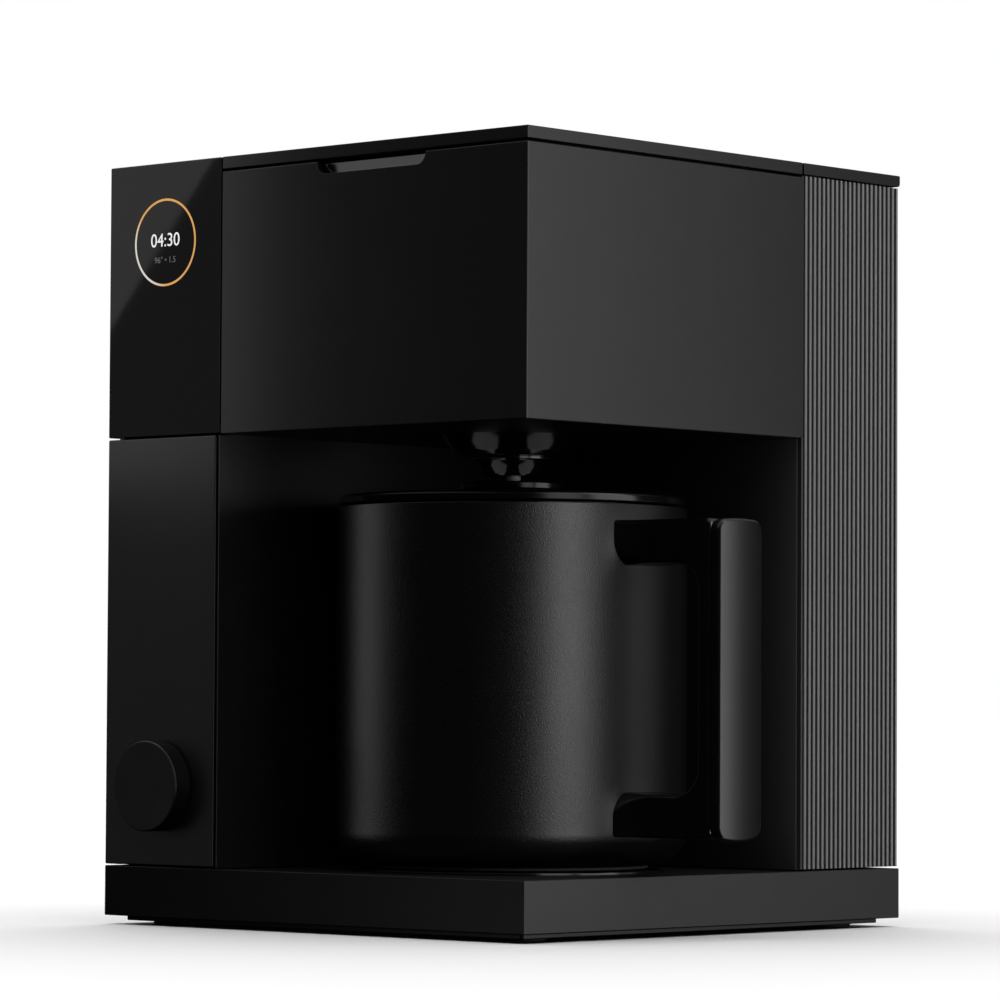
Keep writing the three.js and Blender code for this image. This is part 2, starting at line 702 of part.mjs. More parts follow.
function chamberHousing() {
  const outer = block([CHAMBER_LEFT, FRONT, CHAMBER_BOTTOM], [RIGHT, CHAMBER_BACK, CHAMBER_TOP]);
  const inner = block(
    [CHAMBER_INNER.left, CHAMBER_INNER.front, CHAMBER_FLOOR],
    [CHAMBER_INNER.right, CHAMBER_INNER.back, TOP],
  );
  const outletHole = rod(
    "z", OUTLET_RADIUS + 2 * GAP, CHAMBER_BOTTOM - 1, CHAMBER_FLOOR + 1, [BREW_X, BREW_Y], ROUND);
  const portHole = rod(
    "x", PASS_RADIUS, CHAMBER_LEFT - 1, CHAMBER_INNER.left + 1, [PORT_Y, PORT_Z], 16);
  const notchBottom = CHAMBER_TOP - NOTCH_DEPTH;
  const arcHeight = notchBottom + NOTCH_CORNER;
  const reach = NOTCH_WIDTH / 2 - NOTCH_CORNER;
  const notch = extrude("y", outline([
    ...arc(BREW_X - reach, arcHeight, NOTCH_CORNER, 180, 270, 5),
    ...arc(BREW_X + reach, arcHeight, NOTCH_CORNER, 270, 360, 5),
    [BREW_X + NOTCH_WIDTH / 2, CHAMBER_TOP + 1],
    [BREW_X - NOTCH_WIDTH / 2, CHAMBER_TOP + 1],
  ]), FRONT - 1, CHAMBER_INNER.front + 1);
  const housing = cut(outer, inner, outletHole, portHole, notch);
  return piece("chamber_housing", housing, SATIN_BLACK);
}

// Block behind the finger notch with a hollow that leads the fingers under the lid.
function fingerScoop() {
  const front = CHAMBER_INNER.front + GAP;
  const top = CHAMBER_TOP - GAP;
  const floor = CHAMBER_TOP - NOTCH_DEPTH - GAP;
  const side = outline([
    [front, SCOOP_BOTTOM],
    [SCOOP_BACK, SCOOP_BOTTOM],
    [SCOOP_BACK, top],
    ...arc(SCOOP_CENTRE_Y, top, top - floor, 0, -90, 6),
    [front, floor],
  ]);
  const halfWidth = NOTCH_WIDTH / 2 + 3;
  const scoop = extrude("x", side, BREW_X - halfWidth, BREW_X + halfWidth);
  return piece("finger_scoop", scoop, GLOSS_BLACK);
}

function bayBackWall() {
  const wall = block(
    [CHAMBER_LEFT, CHAMBER_BACK + GAP, COLUMN_FLOOR],
    [TANK_LIP_LEFT - GAP, TANK_FRONT - TANK_SLIDE_GAP, COLUMN_CEILING],
  );
  return piece("bay_back_wall", wall, DARK_CASE);
}

function brewWell() {
  const floorHole = 20.5;
  const rim = DECK_BOTTOM - GAP;
  const profile = [
    [floorHole, WELL_FLOOR],
    [WELL_RADIUS + WELL_WALL, WELL_FLOOR],
    [WELL_RADIUS + WELL_WALL, rim],
    [WELL_RADIUS, rim],
    [WELL_RADIUS, WELL_FLOOR + WELL_WALL],
    [floorHole, WELL_FLOOR + WELL_WALL],
  ];
  return pieceOnBrewAxis("brew_well", lathe(profile), INNER_PLASTIC);
}

// Plate that closes the chamber round the mouth of the well.
function chamberDeck() {
  const portRoom = PORT_RADIUS + 2.6;
  const plate = block(
    [CHAMBER_INNER.left + GAP, SCOOP_BACK + GAP, DECK_BOTTOM],
    [CHAMBER_INNER.right - GAP, HINGE_LEG_FRONT - 0.4, DECK_TOP],
  );
  const mouth = rod("z", WELL_RADIUS, DECK_BOTTOM - 1, TOP, [BREW_X, BREW_Y], ROUND);
  const portHole = rod("z", portRoom, DECK_BOTTOM - 1, TOP, [PORT_X, PORT_Y], 16);
  return piece("chamber_deck", cut(plate, mouth, portHole), INNER_PLASTIC);
}

function waterPort() {
  const pipeReach = 9;
  const outer = rod("z", PORT_RADIUS, PORT_Z - 6, PORT_TOP, [PORT_X, PORT_Y], 16);
  const pipe = rod("x", NIPPLE_RADIUS, FRAME_LEFT - pipeReach, PORT_X, [PORT_Y, PORT_Z], 12);
  const bore = rod("z", PORT_BORE, PORT_Z, PORT_TOP + 1, [PORT_X, PORT_Y], 12);
  const pipeBore = rod(
    "x", NIPPLE_BORE, FRAME_LEFT - pipeReach - 1, PORT_X, [PORT_Y, PORT_Z], 8);
  return piece("water_port", cut(join(outer, pipe), bore, pipeBore), INNER_PLASTIC);
}

function waterPortSeal() {
  const [bore, tip, root] = [PORT_BORE + 0.2, PORT_RADIUS + 1, PORT_RADIUS + 2];
  const [low, high] = [PORT_TOP + GAP, PORT_TOP + 1.9];
  const profile = [[bore, low], [tip, low], [root, high], [bore, high]];
  const mesh = piece("water_port_seal", lathe(profile, 20), SILICONE);
  mesh.position.set(PORT_X, PORT_Y, 0);
  return mesh;
}

function hingeBracket(name, x) {
  const width = 10;
  const legLength = 26.6;
  const leg = block(
    [x - width / 2, HINGE_LEG_FRONT, HINGE_Z - legLength],
    [x + width / 2, HINGE_LEG_FRONT + HINGE_LEG_THICKNESS, HINGE_Z],
  );
  const knuckle = rod(
    "x", HINGE_KNUCKLE_RADIUS, x - width / 2, x + width / 2, [HINGE_Y, HINGE_Z], 20);
  const bore = rod("x", HINGE_PIN_RADIUS + 0.1, x - width, x + width, [HINGE_Y, HINGE_Z], 16);
  return piece(name, cut(join(leg, knuckle), bore), BARE_STEEL);
}

function hingePin(name, x) {
  const [from, to] = [x - HINGE_PIN_HALF_LENGTH, x + HINGE_PIN_HALF_LENGTH];
  const pin = rod("x", HINGE_PIN_RADIUS, from, to, [HINGE_Y, HINGE_Z], 16);
  return piece(name, pin, BARE_STEEL);
}

// ---------------------------------------------------------------- basket, outlet, drip valve

const BASKET_FLOOR = 202.9;
const BASKET_TOP = 284;
const NECK_BOTTOM = 187.3;
const NECK_INNER = 11;
const NECK_OUTER = 14;
const GUIDE_RADIUS = 4;
const PLUNGER_RADIUS = 3.2;
const PLUNGER_HEAD_BOTTOM = 194.2;
const PLUNGER_HEAD_TOP = 196;

function brewBasket() {
  const wall = 2;
  const bottomRadius = 57;
  const topRadius = 61.5;
  const rimRadius = 63.2;
  const cup = lathe([
    [0, BASKET_FLOOR],
    [NECK_INNER, BASKET_FLOOR],
    [NECK_INNER, NECK_BOTTOM],
    [NECK_OUTER, NECK_BOTTOM],
    [NECK_OUTER, BASKET_FLOOR],
    [bottomRadius - 2, BASKET_FLOOR],
    [bottomRadius, BASKET_FLOOR + 2],
    [topRadius, BASKET_TOP - 2],
    [rimRadius, BASKET_TOP - 2],
    [rimRadius, BASKET_TOP],
    [topRadius - wall, BASKET_TOP],
    [bottomRadius - wall, BASKET_FLOOR + wall],
    [0, BASKET_FLOOR + wall],
  ]);
  const [low, high] = [BASKET_FLOOR - 1, BASKET_FLOOR + wall + 1];
  const guide = rod("z", GUIDE_RADIUS, low, high, [0, 0], 16);
  const drain = { count: 6, radius: 2, circle: 7.6 };
  const drains = [];
  for (let i = 0; i < drain.count; i += 1) {
    const angle = (i / drain.count) * Math.PI * 2;
    const centre = [drain.circle * Math.cos(angle), drain.circle * Math.sin(angle)];
    drains.push(rod("z", drain.radius, low, high, centre, 8));
  }
  return pieceOnBrewAxis("brew_basket", cut(cup, guide, ...drains), INNER_PLASTIC);
}

function outletCone() {
  const bottom = 186.7;
  const shoulder = 195.5;
  const lowerRadius = 21.6;
  const round = 3;
  const [bore, mouth] = [20, 17];
  const profile = [
    [bore, OUTLET_FLANGE_TOP],
    [OUTLET_FLANGE_RADIUS, OUTLET_FLANGE_TOP],
    [OUTLET_FLANGE_RADIUS, CHAMBER_FLOOR + GAP],
    [OUTLET_RADIUS, CHAMBER_FLOOR + GAP],
    [OUTLET_RADIUS, shoulder],
    [lowerRadius + 1.6, bottom + 2],
    ...arc(lowerRadius - 1.5, bottom + round, round, -30, -90, 2),
    [mouth, bottom],
    [mouth, bottom + 4],
    [bore, shoulder],
  ];
  return pieceOnBrewAxis("outlet_cone", lathe(profile), GLOSS_BLACK);
}

function dripValveBody() {
  const bore = GUIDE_RADIUS + 0.2;
  const spigot = NECK_INNER - 0.4;
  const [bottom, lipBottom, lipTop, top] = [179, 185, NECK_BOTTOM - 0.4, 191];
  const [bottomRadius, lipRadius] = [10.4, 15.9];
  const profile = [
    [bore, bottom],
    [bottomRadius, bottom],
    [bottomRadius + 1.4, bottom + 1],
    [lipRadius - 1.1, lipBottom],
    [lipRadius, lipBottom + 0.7],
    [lipRadius, lipTop],
    [spigot, lipTop],
    [spigot, top],
    [bore, top],
  ];
  return pieceOnBrewAxis("drip_valve_body", lathe(profile, 24), GLOSS_BLACK);
}

function dripValvePlunger() {
  const [bottom, top] = [177.1, 205.5];
  const headRadius = 8;
  const round = 1;
  const profile = [
    [0, bottom],
    [PLUNGER_RADIUS - round, bottom],
    [PLUNGER_RADIUS, bottom + round],
    [PLUNGER_RADIUS, PLUNGER_HEAD_BOTTOM],
    [headRadius, PLUNGER_HEAD_BOTTOM],
    [headRadius, PLUNGER_HEAD_TOP],
    [PLUNGER_RADIUS, PLUNGER_HEAD_TOP],
    [PLUNGER_RADIUS, top],
    [0, top],
  ];
  return pieceOnBrewAxis("drip_valve_plunger", lathe(profile, 20), SILICONE);
}

function dripValveSpring() {
  const turns = 3.5;
  const coilRadius = 5.6;
  const wireRadius = 0.45;
  const low = PLUNGER_HEAD_TOP + GAP + wireRadius;
  const high = BASKET_FLOOR - GAP - wireRadius;
  const stepsPerTurn = 10;
  const points = [];
  for (let i = 0; i <= turns * stepsPerTurn; i += 1) {
    const angle = (i / stepsPerTurn) * Math.PI * 2;
    const z = THREE.MathUtils.lerp(low, high, i / (turns * stepsPerTurn));
    points.push(new THREE.Vector3(coilRadius * Math.cos(angle), coilRadius * Math.sin(angle), z));
  }
  const wire = new THREE.Shape().absarc(0, 0, wireRadius, 0, Math.PI * 2, false);
  const coil = new THREE.ExtrudeGeometry(wire, {
    steps: turns * stepsPerTurn,
    curveSegments: 2,
    extrudePath: new THREE.CatmullRomCurve3(points),
  });
  return pieceOnBrewAxis("drip_valve_spring", coil, BARE_STEEL);
}

// ---------------------------------------------------------------- brew lid

const LINER_TOP = LID_BOTTOM - GAP;
const LINER_BOTTOM = 297;
const LINER = { left: -42, right: 106, front: -98, back: 43, corner: 8 };
const SKIRT_RADIUS = 62.5;
const SKIRT_WALL = 2.5;
const SKIRT_BOTTOM = 291;
const DUCT_WIDTH = 10;
const DUCT_ROOM = 12; // width of the slot that the duct passes through
const DUCT_BOTTOM = 292.2;
const DUCT_TOP = LINER_BOTTOM - GAP;
const SHOWER_TOP = DUCT_BOTTOM - GAP;
const SHOWER_BOTTOM = 288.4;
const SHOWER_RADIUS = 45;

// Slab whose rear edge turns about a line in the middle of its thickness. Its lower rear
// corner is rounded by the given radius, so that it clears what is below as it swings.
function hingedSlab(bottom, left, front, back, lowerRound) {
  const upperRound = 0.5;
  const side = outline([
    [front, bottom],
    ...arc(back - lowerRound, bottom + lowerRound, lowerRound, -90, 0, 4),
    ...arc(back - upperRound, TOP - upperRound, upperRound, 0, 90, 2),
    [front, TOP],
  ]);
  return extrude("x", side, left, RIGHT);
}

function lidPanel() {
  const slab = hingedSlab(LID_BOTTOM, LID_LEFT, FRONT, LID_BACK, 0.5);
  const half = HINGE_NOTCH_WIDTH / 2;
  const notchFront = HINGE_LEG_FRONT - 0.7;
  const notches = HINGE_CENTRES.map((x) =>
    block([x - half, notchFront, LID_BOTTOM - 1], [x + half, LID_BACK + 1, TOP + 1]));
  const reach = HINGE_PIN_HALF_LENGTH + 1;
  const pinHoles = HINGE_CENTRES.map((x) =>
    rod("x", HINGE_PIN_RADIUS + 0.1, x - reach, x + reach, [HINGE_Y, HINGE_Z], 16));
  return piece("lid_panel", cut(slab, ...notches, ...pinHoles), SATIN_BLACK);
}

// Straight block laid from the water port towards the brewing axis, seen from above.
function alongDuct(width, bottom, top, extra) {
  const dx = BREW_X - PORT_X;
  const dy = BREW_Y - PORT_Y;
  const half = Math.hypot(dx, dy) / 2 + extra;
  return block([-half, -width / 2, bottom], [half, width / 2, top])
    .rotateZ(Math.atan2(dy, dx))
    .translate((BREW_X + PORT_X) / 2, (BREW_Y + PORT_Y) / 2, 0);
}

function lidLiner() {
  const { left, right, front, back, corner } = LINER;
  const plan = outline(roundedRectangle(left, front, right, back, corner));
  const plate = extrude("z", plan, LINER_BOTTOM, LINER_TOP);
  const skirt = lathe([
    [SKIRT_RADIUS - SKIRT_WALL, SKIRT_BOTTOM],
    [SKIRT_RADIUS, SKIRT_BOTTOM],
    [SKIRT_RADIUS, LINER_BOTTOM + 1],
    [SKIRT_RADIUS - SKIRT_WALL, LINER_BOTTOM + 1],
  ]).translate(BREW_X, BREW_Y, 0);
  const ductSlot = alongDuct(DUCT_ROOM, SKIRT_BOTTOM - 1, LINER_BOTTOM, 0);
  return piece("lid_liner", cut(join(plate, skirt), ductSlot), INNER_PLASTIC);
}

function lidWaterChannel() {
  const wall = 2;
  const duct = alongDuct(DUCT_WIDTH, DUCT_BOTTOM, DUCT_TOP, 3);
  const inletBoss = rod("z", 6, DUCT_BOTTOM, DUCT_TOP, [PORT_X, PORT_Y], 20);
  const nozzle = rod("z", 3, SHOWER_TOP - 1.2, DUCT_BOTTOM + 1, [BREW_X, BREW_Y], 16);
  const bore = alongDuct(DUCT_WIDTH - 2 * wall, DUCT_BOTTOM + 1, DUCT_TOP - 1, 1);
  const inlet = rod("z", 2.5, DUCT_BOTTOM - 1, DUCT_BOTTOM + 2, [PORT_X, PORT_Y], 12);
  const outlet = rod("z", 2, SHOWER_BOTTOM, DUCT_BOTTOM + 2, [BREW_X, BREW_Y], 12);
  const channel = cut(join(duct, inletBoss, nozzle), bore, inlet, outlet);
  return piece("lid_water_channel", channel, INNER_PLASTIC);
}

function showerHead() {
  const plate = 0.9;
  const rim = 2;
  const nozzleHole = 3.5;
  const disc = lathe([
    [nozzleHole, SHOWER_TOP],
    [nozzleHole, SHOWER_TOP - plate],
    [SHOWER_RADIUS - rim, SHOWER_TOP - plate],
    [SHOWER_RADIUS - rim, SHOWER_BOTTOM + plate],
    [0, SHOWER_BOTTOM + plate],
    [0, SHOWER_BOTTOM],
    [SHOWER_RADIUS, SHOWER_BOTTOM],
    [SHOWER_RADIUS, SHOWER_TOP],
  ], 28);
  const holes = [];
  for (const [radius, count] of [[14, 6], [32, 10]]) {
    for (let i = 0; i < count; i += 1) {
      const angle = (i / count) * Math.PI * 2;
      const centre = [radius * Math.cos(angle), radius * Math.sin(angle)];
      holes.push(rod("z", 1.1, SHOWER_BOTTOM - 1, SHOWER_BOTTOM + 1.5, centre, 6));
    }
  }
  return pieceOnBrewAxis("shower_head", cut(disc, ...holes), BARE_STEEL);
}

function lidGasket() {
  const [seatWidth, rootWidth] = [3, 2];
  const inner = SKIRT_RADIUS + GAP;
  const profile = [
    [inner, DECK_TOP + GAP],
    [inner + seatWidth, DECK_TOP + GAP],
    [inner + rootWidth, LINER_BOTTOM - GAP],
    [inner, LINER_BOTTOM - GAP],
  ];
  const ring = lathe(profile).translate(BREW_X, BREW_Y, 0);
  const ductSlot = alongDuct(DUCT_ROOM, DUCT_BOTTOM - 0.6, LINER_TOP, 0);
  return piece("lid_gasket", cut(ring, ductSlot), SILICONE);
}

// ---------------------------------------------------------------- carafe

const LINER_RADIUS = 64.5;
const LINER_WALL = 0.8;
const LINER_FLOOR = 30;
const CARAFE_LID_TOP = 171;
const CARAFE_LID_RADIUS = 68.4;
const HUB_TOP = 176.4;
const HUB_RADIUS = 20.6;
const PLUG_RADIUS = 62;
const TUBE_RADIUS = 4.5;

function carafeBody() {
  const bottom = CARAFE_BOTTOM + 1.5;
  const [outer, inner] = [CARAFE_RADIUS, CARAFE_RADIUS - CARAFE_SKIN];
  const centre = [outer - CARAFE_CORNER, bottom + CARAFE_CORNER];
  const profile = [
    [0, bottom],
    ...arc(...centre, CARAFE_CORNER, -90, 0, 4),
    [outer, CARAFE_RIM],
    [inner, CARAFE_RIM],
    ...arc(...centre, CARAFE_CORNER - CARAFE_SKIN, 0, -90, 4),
    [0, bottom + CARAFE_SKIN],
  ];
  return pieceOnBrewAxis("carafe_body", lathe(profile), COATED_STEEL);
}

function carafeLiner() {
  const corner = 10;
  const centre = [LINER_RADIUS - corner, LINER_FLOOR + corner];
  const flange = CARAFE_RADIUS - CARAFE_SKIN - GAP;
  const profile = [
    [0, LINER_FLOOR],
    ...arc(...centre, corner, -90, 0, 3),
    [LINER_RADIUS, CARAFE_RIM - 6],
    [flange, CARAFE_RIM - 3],
    [flange, CARAFE_RIM],
    [LINER_RADIUS - LINER_WALL, CARAFE_RIM],
    ...arc(...centre, corner - LINER_WALL, 0, -90, 3),
    [0, LINER_FLOOR + LINER_WALL],
  ];
  return pieceOnBrewAxis("carafe_liner", lathe(profile), BARE_STEEL);
}

function carafeBase() {
  const radius = CARAFE_RADIUS - CARAFE_CORNER - 2;
  const top = CARAFE_BOTTOM + 1.5 - GAP;
  const profile = [
    [0, CARAFE_BOTTOM],
    [radius - 0.6, CARAFE_BOTTOM],
    [radius, CARAFE_BOTTOM + 0.6],
    [radius, top],
    [0, top],
  ];
  return pieceOnBrewAxis("carafe_base", lathe(profile), RUBBER);
}

function carafeLid() {
  const underside = CARAFE_RIM + 1;
  const edge = 1.8;
  const wall = 2.5;
  const plugBottom = 150;
  const hubBottom = 164;
  const [dishTop, dishBottom, hubFoot] = [11, 8, 24];
  const deckUnderside = CARAFE_LID_TOP - wall;
  const disc = lathe([
    [dishBottom, HUB_TOP - 5],
    [dishTop, HUB_TOP],
    [HUB_RADIUS - 1, HUB_TOP],
    [HUB_RADIUS, HUB_TOP - 1],
    [hubFoot, CARAFE_LID_TOP],
    ...arc(CARAFE_LID_RADIUS - edge, CARAFE_LID_TOP - edge, edge, 90, 0, 2),
    [CARAFE_LID_RADIUS, underside],
    [PLUG_RADIUS, underside],
    [PLUG_RADIUS, plugBottom],
    [PLUG_RADIUS - wall, plugBottom],
    [PLUG_RADIUS - wall, deckUnderside],
    [dishTop + 1, deckUnderside],
    [dishTop + 1, hubBottom],
    [dishBottom, hubBottom],
  ]);
  const pour = { from: 50, to: 80, halfWidth: 9, below: 9, above: 1.6, turn: -40 };
  const pourChannel = block(
    [-pour.to, -pour.halfWidth, underside - pour.below],
    [-pour.from, pour.halfWidth, underside + pour.above],
  ).rotateZ(THREE.MathUtils.degToRad(pour.turn));
  return pieceOnBrewAxis("carafe_lid", cut(disc, pourChannel), GLOSS_BLACK);
}

function carafeLidSeal() {
  const [inner, outer] = [PLUG_RADIUS + GAP, PLUG_RADIUS + 1.2];
  const [low, high, slope] = [152, 155, 0.6];
  const profile = [[inner, low], [outer, low + slope], [outer, high - slope], [inner, high]];
  return pieceOnBrewAxis("carafe_lid_seal", lathe(profile), SILICONE);
}

function mixingTube() {
  const wall = 1;
  const flange = 7.5;
  const [bottom, top] = [45, 169];
  const profile = [
    [TUBE_RADIUS - wall, bottom],
    [TUBE_RADIUS, bottom],
    [TUBE_RADIUS, top - flange + TUBE_RADIUS],
    [flange, top - wall],
    [flange, top],
    [TUBE_RADIUS - wall, top],
  ];
  return pieceOnBrewAxis("mixing_tube", lathe(profile, 16), INNER_PLASTIC);
}

const HANDLE_BODY_SIDE = 96;
const HANDLE_EDGE = 1.2;
const PAD = { halfWidth: 15, right: 105, overlap: 1, corner: 4 };

function handleFrame() {
  const openingCorner = 11;
  const outerCorner = 5;
  const side = outline([
    [HANDLE_BODY_SIDE, HANDLE_BOTTOM],
    ...arc(HANDLE_SEAM - outerCorner, HANDLE_BOTTOM + outerCorner, outerCorner, -90, 0, 4),
    ...arc(HANDLE_SEAM - outerCorner, HANDLE_TOP - outerCorner, outerCorner, 0, 90, 4),
    [HANDLE_BODY_SIDE, HANDLE_TOP],
  ]);
  const opening = outline(roundedRectangle(
    HANDLE_BODY_SIDE - 2 * openingCorner, HANDLE_BOTTOM + HANDLE_ARM,
    HANDLE_INNER, HANDLE_TOP - HANDLE_ARM, openingCorner, 4));
  const halfWidth = HANDLE_WIDTH / 2;
  const loop = cut(
    extrude("y", side, BREW_Y - halfWidth, BREW_Y + halfWidth, { edge: HANDLE_EDGE }),
    extrude("y", opening, BREW_Y - 2 * halfWidth, BREW_Y + 2 * halfWidth),
  );
  const pad = (low, high) => extrude("x", outline(roundedRectangle(
    BREW_Y - PAD.halfWidth, low, BREW_Y + PAD.halfWidth, high, PAD.corner,
  )), HANDLE_BODY_SIDE, PAD.right);
  const upperPad = pad(HANDLE_TOP - HANDLE_ARM - PAD.overlap, HANDLE_TOP);
  const lowerPad = pad(HANDLE_BOTTOM, HANDLE_BOTTOM + HANDLE_ARM + PAD.overlap);
  const bodyRoom = rod("z", CARAFE_RADIUS + GAP, 0, TOP, [BREW_X, BREW_Y], ROUND);
  return piece("handle_frame", cut(join(loop, upperPad, lowerPad), bodyRoom), GLOSS_BLACK);
}

function handleCover() {
  const halfWidth = HANDLE_WIDTH / 2;
  const corner = 3.5;
  const face = outline(roundedRectangle(
    BREW_Y - halfWidth, HANDLE_BOTTOM, BREW_Y + halfWidth, HANDLE_TOP, corner));
  const cover = extrude("x", face, HANDLE_SEAM + GAP, HANDLE_RIGHT, { edge: HANDLE_EDGE });
  return piece("handle_cover", cover, SATIN_BLACK);
}

// ---------------------------------------------------------------- water tank

const TANK_PIVOT_Y = BACK - (TOP - TANK_LID_BOTTOM) / 2;
const TANK_PIVOT_Z = (TOP + TANK_LID_BOTTOM) / 2;
const TANK_NOTCH_FRONT = 107.8;
const TANK_PIN_RADIUS = 1.2;
const TANK_KNUCKLE_HALF = 5;
const TANK_KNUCKLE_RADIUS = 2;
const NOZZLE_RADIUS = 6.6;
const NOZZLE_BOTTOM = 34.5;
const VALVE_HOLE = 5;
const FLOAT_POST_RADIUS = 2.8;
const FLOAT_POST_HEAD = 5;
const FLOAT_X = 0;
const FLOAT_POST_TOP = 82;
const FLOAT_BOTTOM = 42.6;

// Zigzag from one value to another: raised ribs with grooves between them, then a last rib
// whose outer side is left for the corner. Each entry is [distance along the wall, distance in].
function ribProfile(from, to) {
  const count = Math.floor((to - from) / RIB_PITCH);
  const points = [];
  for (let i = 0; i < count; i += 1) {
    const start = from + i * RIB_PITCH;
    const end = start + 2 * RIB_SLOPE + RIB_WIDTH;
    points.push([start, RIB_DEPTH], [start + RIB_SLOPE, RIB_TIP]);
    points.push([end - RIB_SLOPE, RIB_TIP], [end, RIB_DEPTH]);
  }
  const last = from + count * RIB_PITCH;
  points.push([last, RIB_DEPTH], [last + RIB_SLOPE, RIB_TIP]);
  return points;
}

function tankBody() {
  const rightRibs = ribProfile(TANK_LIP_FRONT + RIB_STRIP, TANK_BACK)
    .map(([y, inset]) => [TANK_RIGHT - inset, y]);
  const backRibs = ribProfile(TANK_LEFT + TANK_WALL, TANK_RIGHT - RIB_WIDTH)
    .map(([x, inset]) => [x, TANK_BACK - inset])
    .reverse();
  const outer = extrude("z", outline([
    [TANK_LEFT, TANK_FRONT],
    [TANK_LIP_LEFT, TANK_FRONT],
    [TANK_LIP_LEFT, TANK_LIP_FRONT],
    [TANK_RIGHT - RIB_DEPTH, TANK_LIP_FRONT],
    ...rightRibs,
    [TANK_RIGHT - RIB_TIP, TANK_BACK - 2 * RIB_TIP],
    [TANK_RIGHT - 2 * RIB_TIP, TANK_BACK - RIB_TIP],
    ...backRibs,
    [TANK_LEFT, TANK_BACK - RIB_DEPTH],
  ]), TANK_BOTTOM, TANK_TOP);
  const inside = { left: TANK_LEFT + TANK_WALL, right: TANK_RIGHT - TANK_WALL - RIB_DEPTH };
  inside.front = TANK_FRONT + TANK_WALL;
  inside.back = TANK_BACK - TANK_WALL - RIB_DEPTH;
  const floorTop = TANK_FLOOR + TANK_WALL;
  const reservoir = block([inside.left, inside.front, floorTop], [inside.right, inside.back, TOP]);
  const underside = block([inside.left, inside.front, 0], [inside.right, inside.back, TANK_FLOOR]);
  const halfNotch = HOSE_PASS_HALF_WIDTH + 1;
  const hoseNotch = block(
    [TANK_LEFT - 1, DOCK_Y - halfNotch, 0], [inside.left + 1, DOCK_Y + halfNotch, HOSE_PASS_TOP]);
  const nozzle = rod("z", NOZZLE_RADIUS, NOZZLE_BOTTOM, TANK_FLOOR + 1, [DOCK_X, DOCK_Y], 20);
  const valveHole = rod(
    "z", VALVE_HOLE, NOZZLE_BOTTOM - 1, floorTop + 1, [DOCK_X, DOCK_Y], 20);
  const postCentre = [FLOAT_X, DOCK_Y];
  const post = rod("z", FLOAT_POST_RADIUS, TANK_FLOOR + 1, FLOAT_POST_TOP, postCentre, 12);
  const postHead = rod(
    "z", FLOAT_POST_HEAD, FLOAT_POST_TOP - 1, FLOAT_POST_TOP + 1.5, postCentre, 12);
  const pivot = [TANK_PIVOT_Y, TANK_PIVOT_Z];
  const half = TANK_KNUCKLE_HALF;
  const knuckles = HINGE_CENTRES.map((x) => join(
    block(
      [x - half, TANK_PIVOT_Y - 1.7, TANK_TOP - 6],
      [x + half, TANK_PIVOT_Y + 0.9, TANK_PIVOT_Z - 0.6],
    ),
    rod("x", TANK_KNUCKLE_RADIUS, x - half, x + half, pivot, 20),
  ));
  const bores = HINGE_CENTRES.map((x) =>
    rod("x", TANK_PIN_RADIUS + 0.1, x - half - 1, x + half + 1, pivot, 16));
  const shell = cut(outer, reservoir, underside, hoseNotch);
  const body = cut(join(shell, nozzle, post, postHead, ...knuckles), valveHole, ...bores);
  return piece("tank_body", body, RIBBED_GREY);
}

function tankLid() {
  const slab = hingedSlab(TANK_LID_BOTTOM, LID_LEFT, TANK_LID_FRONT, BACK, 1.4);
  const half = HINGE_NOTCH_WIDTH / 2;
  const notches = HINGE_CENTRES.map((x) =>
    block([x - half, TANK_NOTCH_FRONT, TANK_LID_BOTTOM - 1], [x + half, BACK + 1, TOP + 1]));
  const tip = TANK_KNUCKLE_HALF / 2;
  const pivot = [TANK_PIVOT_Y, TANK_PIVOT_Z];
  const stubs = HINGE_CENTRES.flatMap((x) => [
    rod("x", TANK_PIN_RADIUS, x - half - 1, x - tip, pivot, 16),
    rod("x", TANK_PIN_RADIUS, x + tip, x + half + 1, pivot, 16),
  ]);
  return piece("tank_lid", join(cut(slab, ...notches), ...stubs), SATIN_BLACK);
}

function tankValve() {
  const bottom = DOCK_PIN_TOP + GAP;
  const discBottom = TANK_FLOOR + TANK_WALL + 2.3;
  const [stemRadius, discRadius] = [2.6, 8];
  const profile = [
    [0, bottom],
    [stemRadius, bottom],
    [stemRadius, discBottom],
    [discRadius, discBottom],
    [discRadius, discBottom + 1.8],
    [0, discBottom + 3],
  ];
  const mesh = piece("tank_valve", lathe(profile, 20), SILICONE);
  mesh.position.set(DOCK_X, DOCK_Y, 0);
  return mesh;
}

function tankDock() {
  const centre = [DOCK_X, DOCK_Y];
  const [plateRadius, cupRadius, boreRadius, pinRadius] = [15, 10, NOZZLE_RADIUS + 0.8, 1.6];
  const [plateTop, cupFloor, cupTop] = [26.5, 31.5, 37.5];
  const pipeEnd = -56;
  const plate = rod("z", plateRadius, SLAB_TOP + GAP, plateTop, centre, 28);
  const cup = rod("z", cupRadius, plateTop - 1, cupTop, centre, 28);
  const bore = rod("z", boreRadius, cupFloor, cupTop + 1, centre, 28);
  const pin = rod("z", pinRadius, cupFloor - 0.5, DOCK_PIN_TOP, centre, 10);
  const pipe = rod("x", NIPPLE_RADIUS, pipeEnd, DOCK_X, [DOCK_Y, HOSE_PASS_Z], 12);
  const passage = rod("x", NIPPLE_BORE, pipeEnd - 1, DOCK_X - 3, [DOCK_Y, HOSE_PASS_Z], 8);
  const drop = rod("z", NIPPLE_BORE, HOSE_PASS_Z - 1, cupFloor + 1, [DOCK_X - 4.5, DOCK_Y], 8);
  const dock = join(cut(join(plate, cup, pipe), bore, passage, drop), pin);
  return piece("tank_dock", dock, INNER_PLASTIC);
}

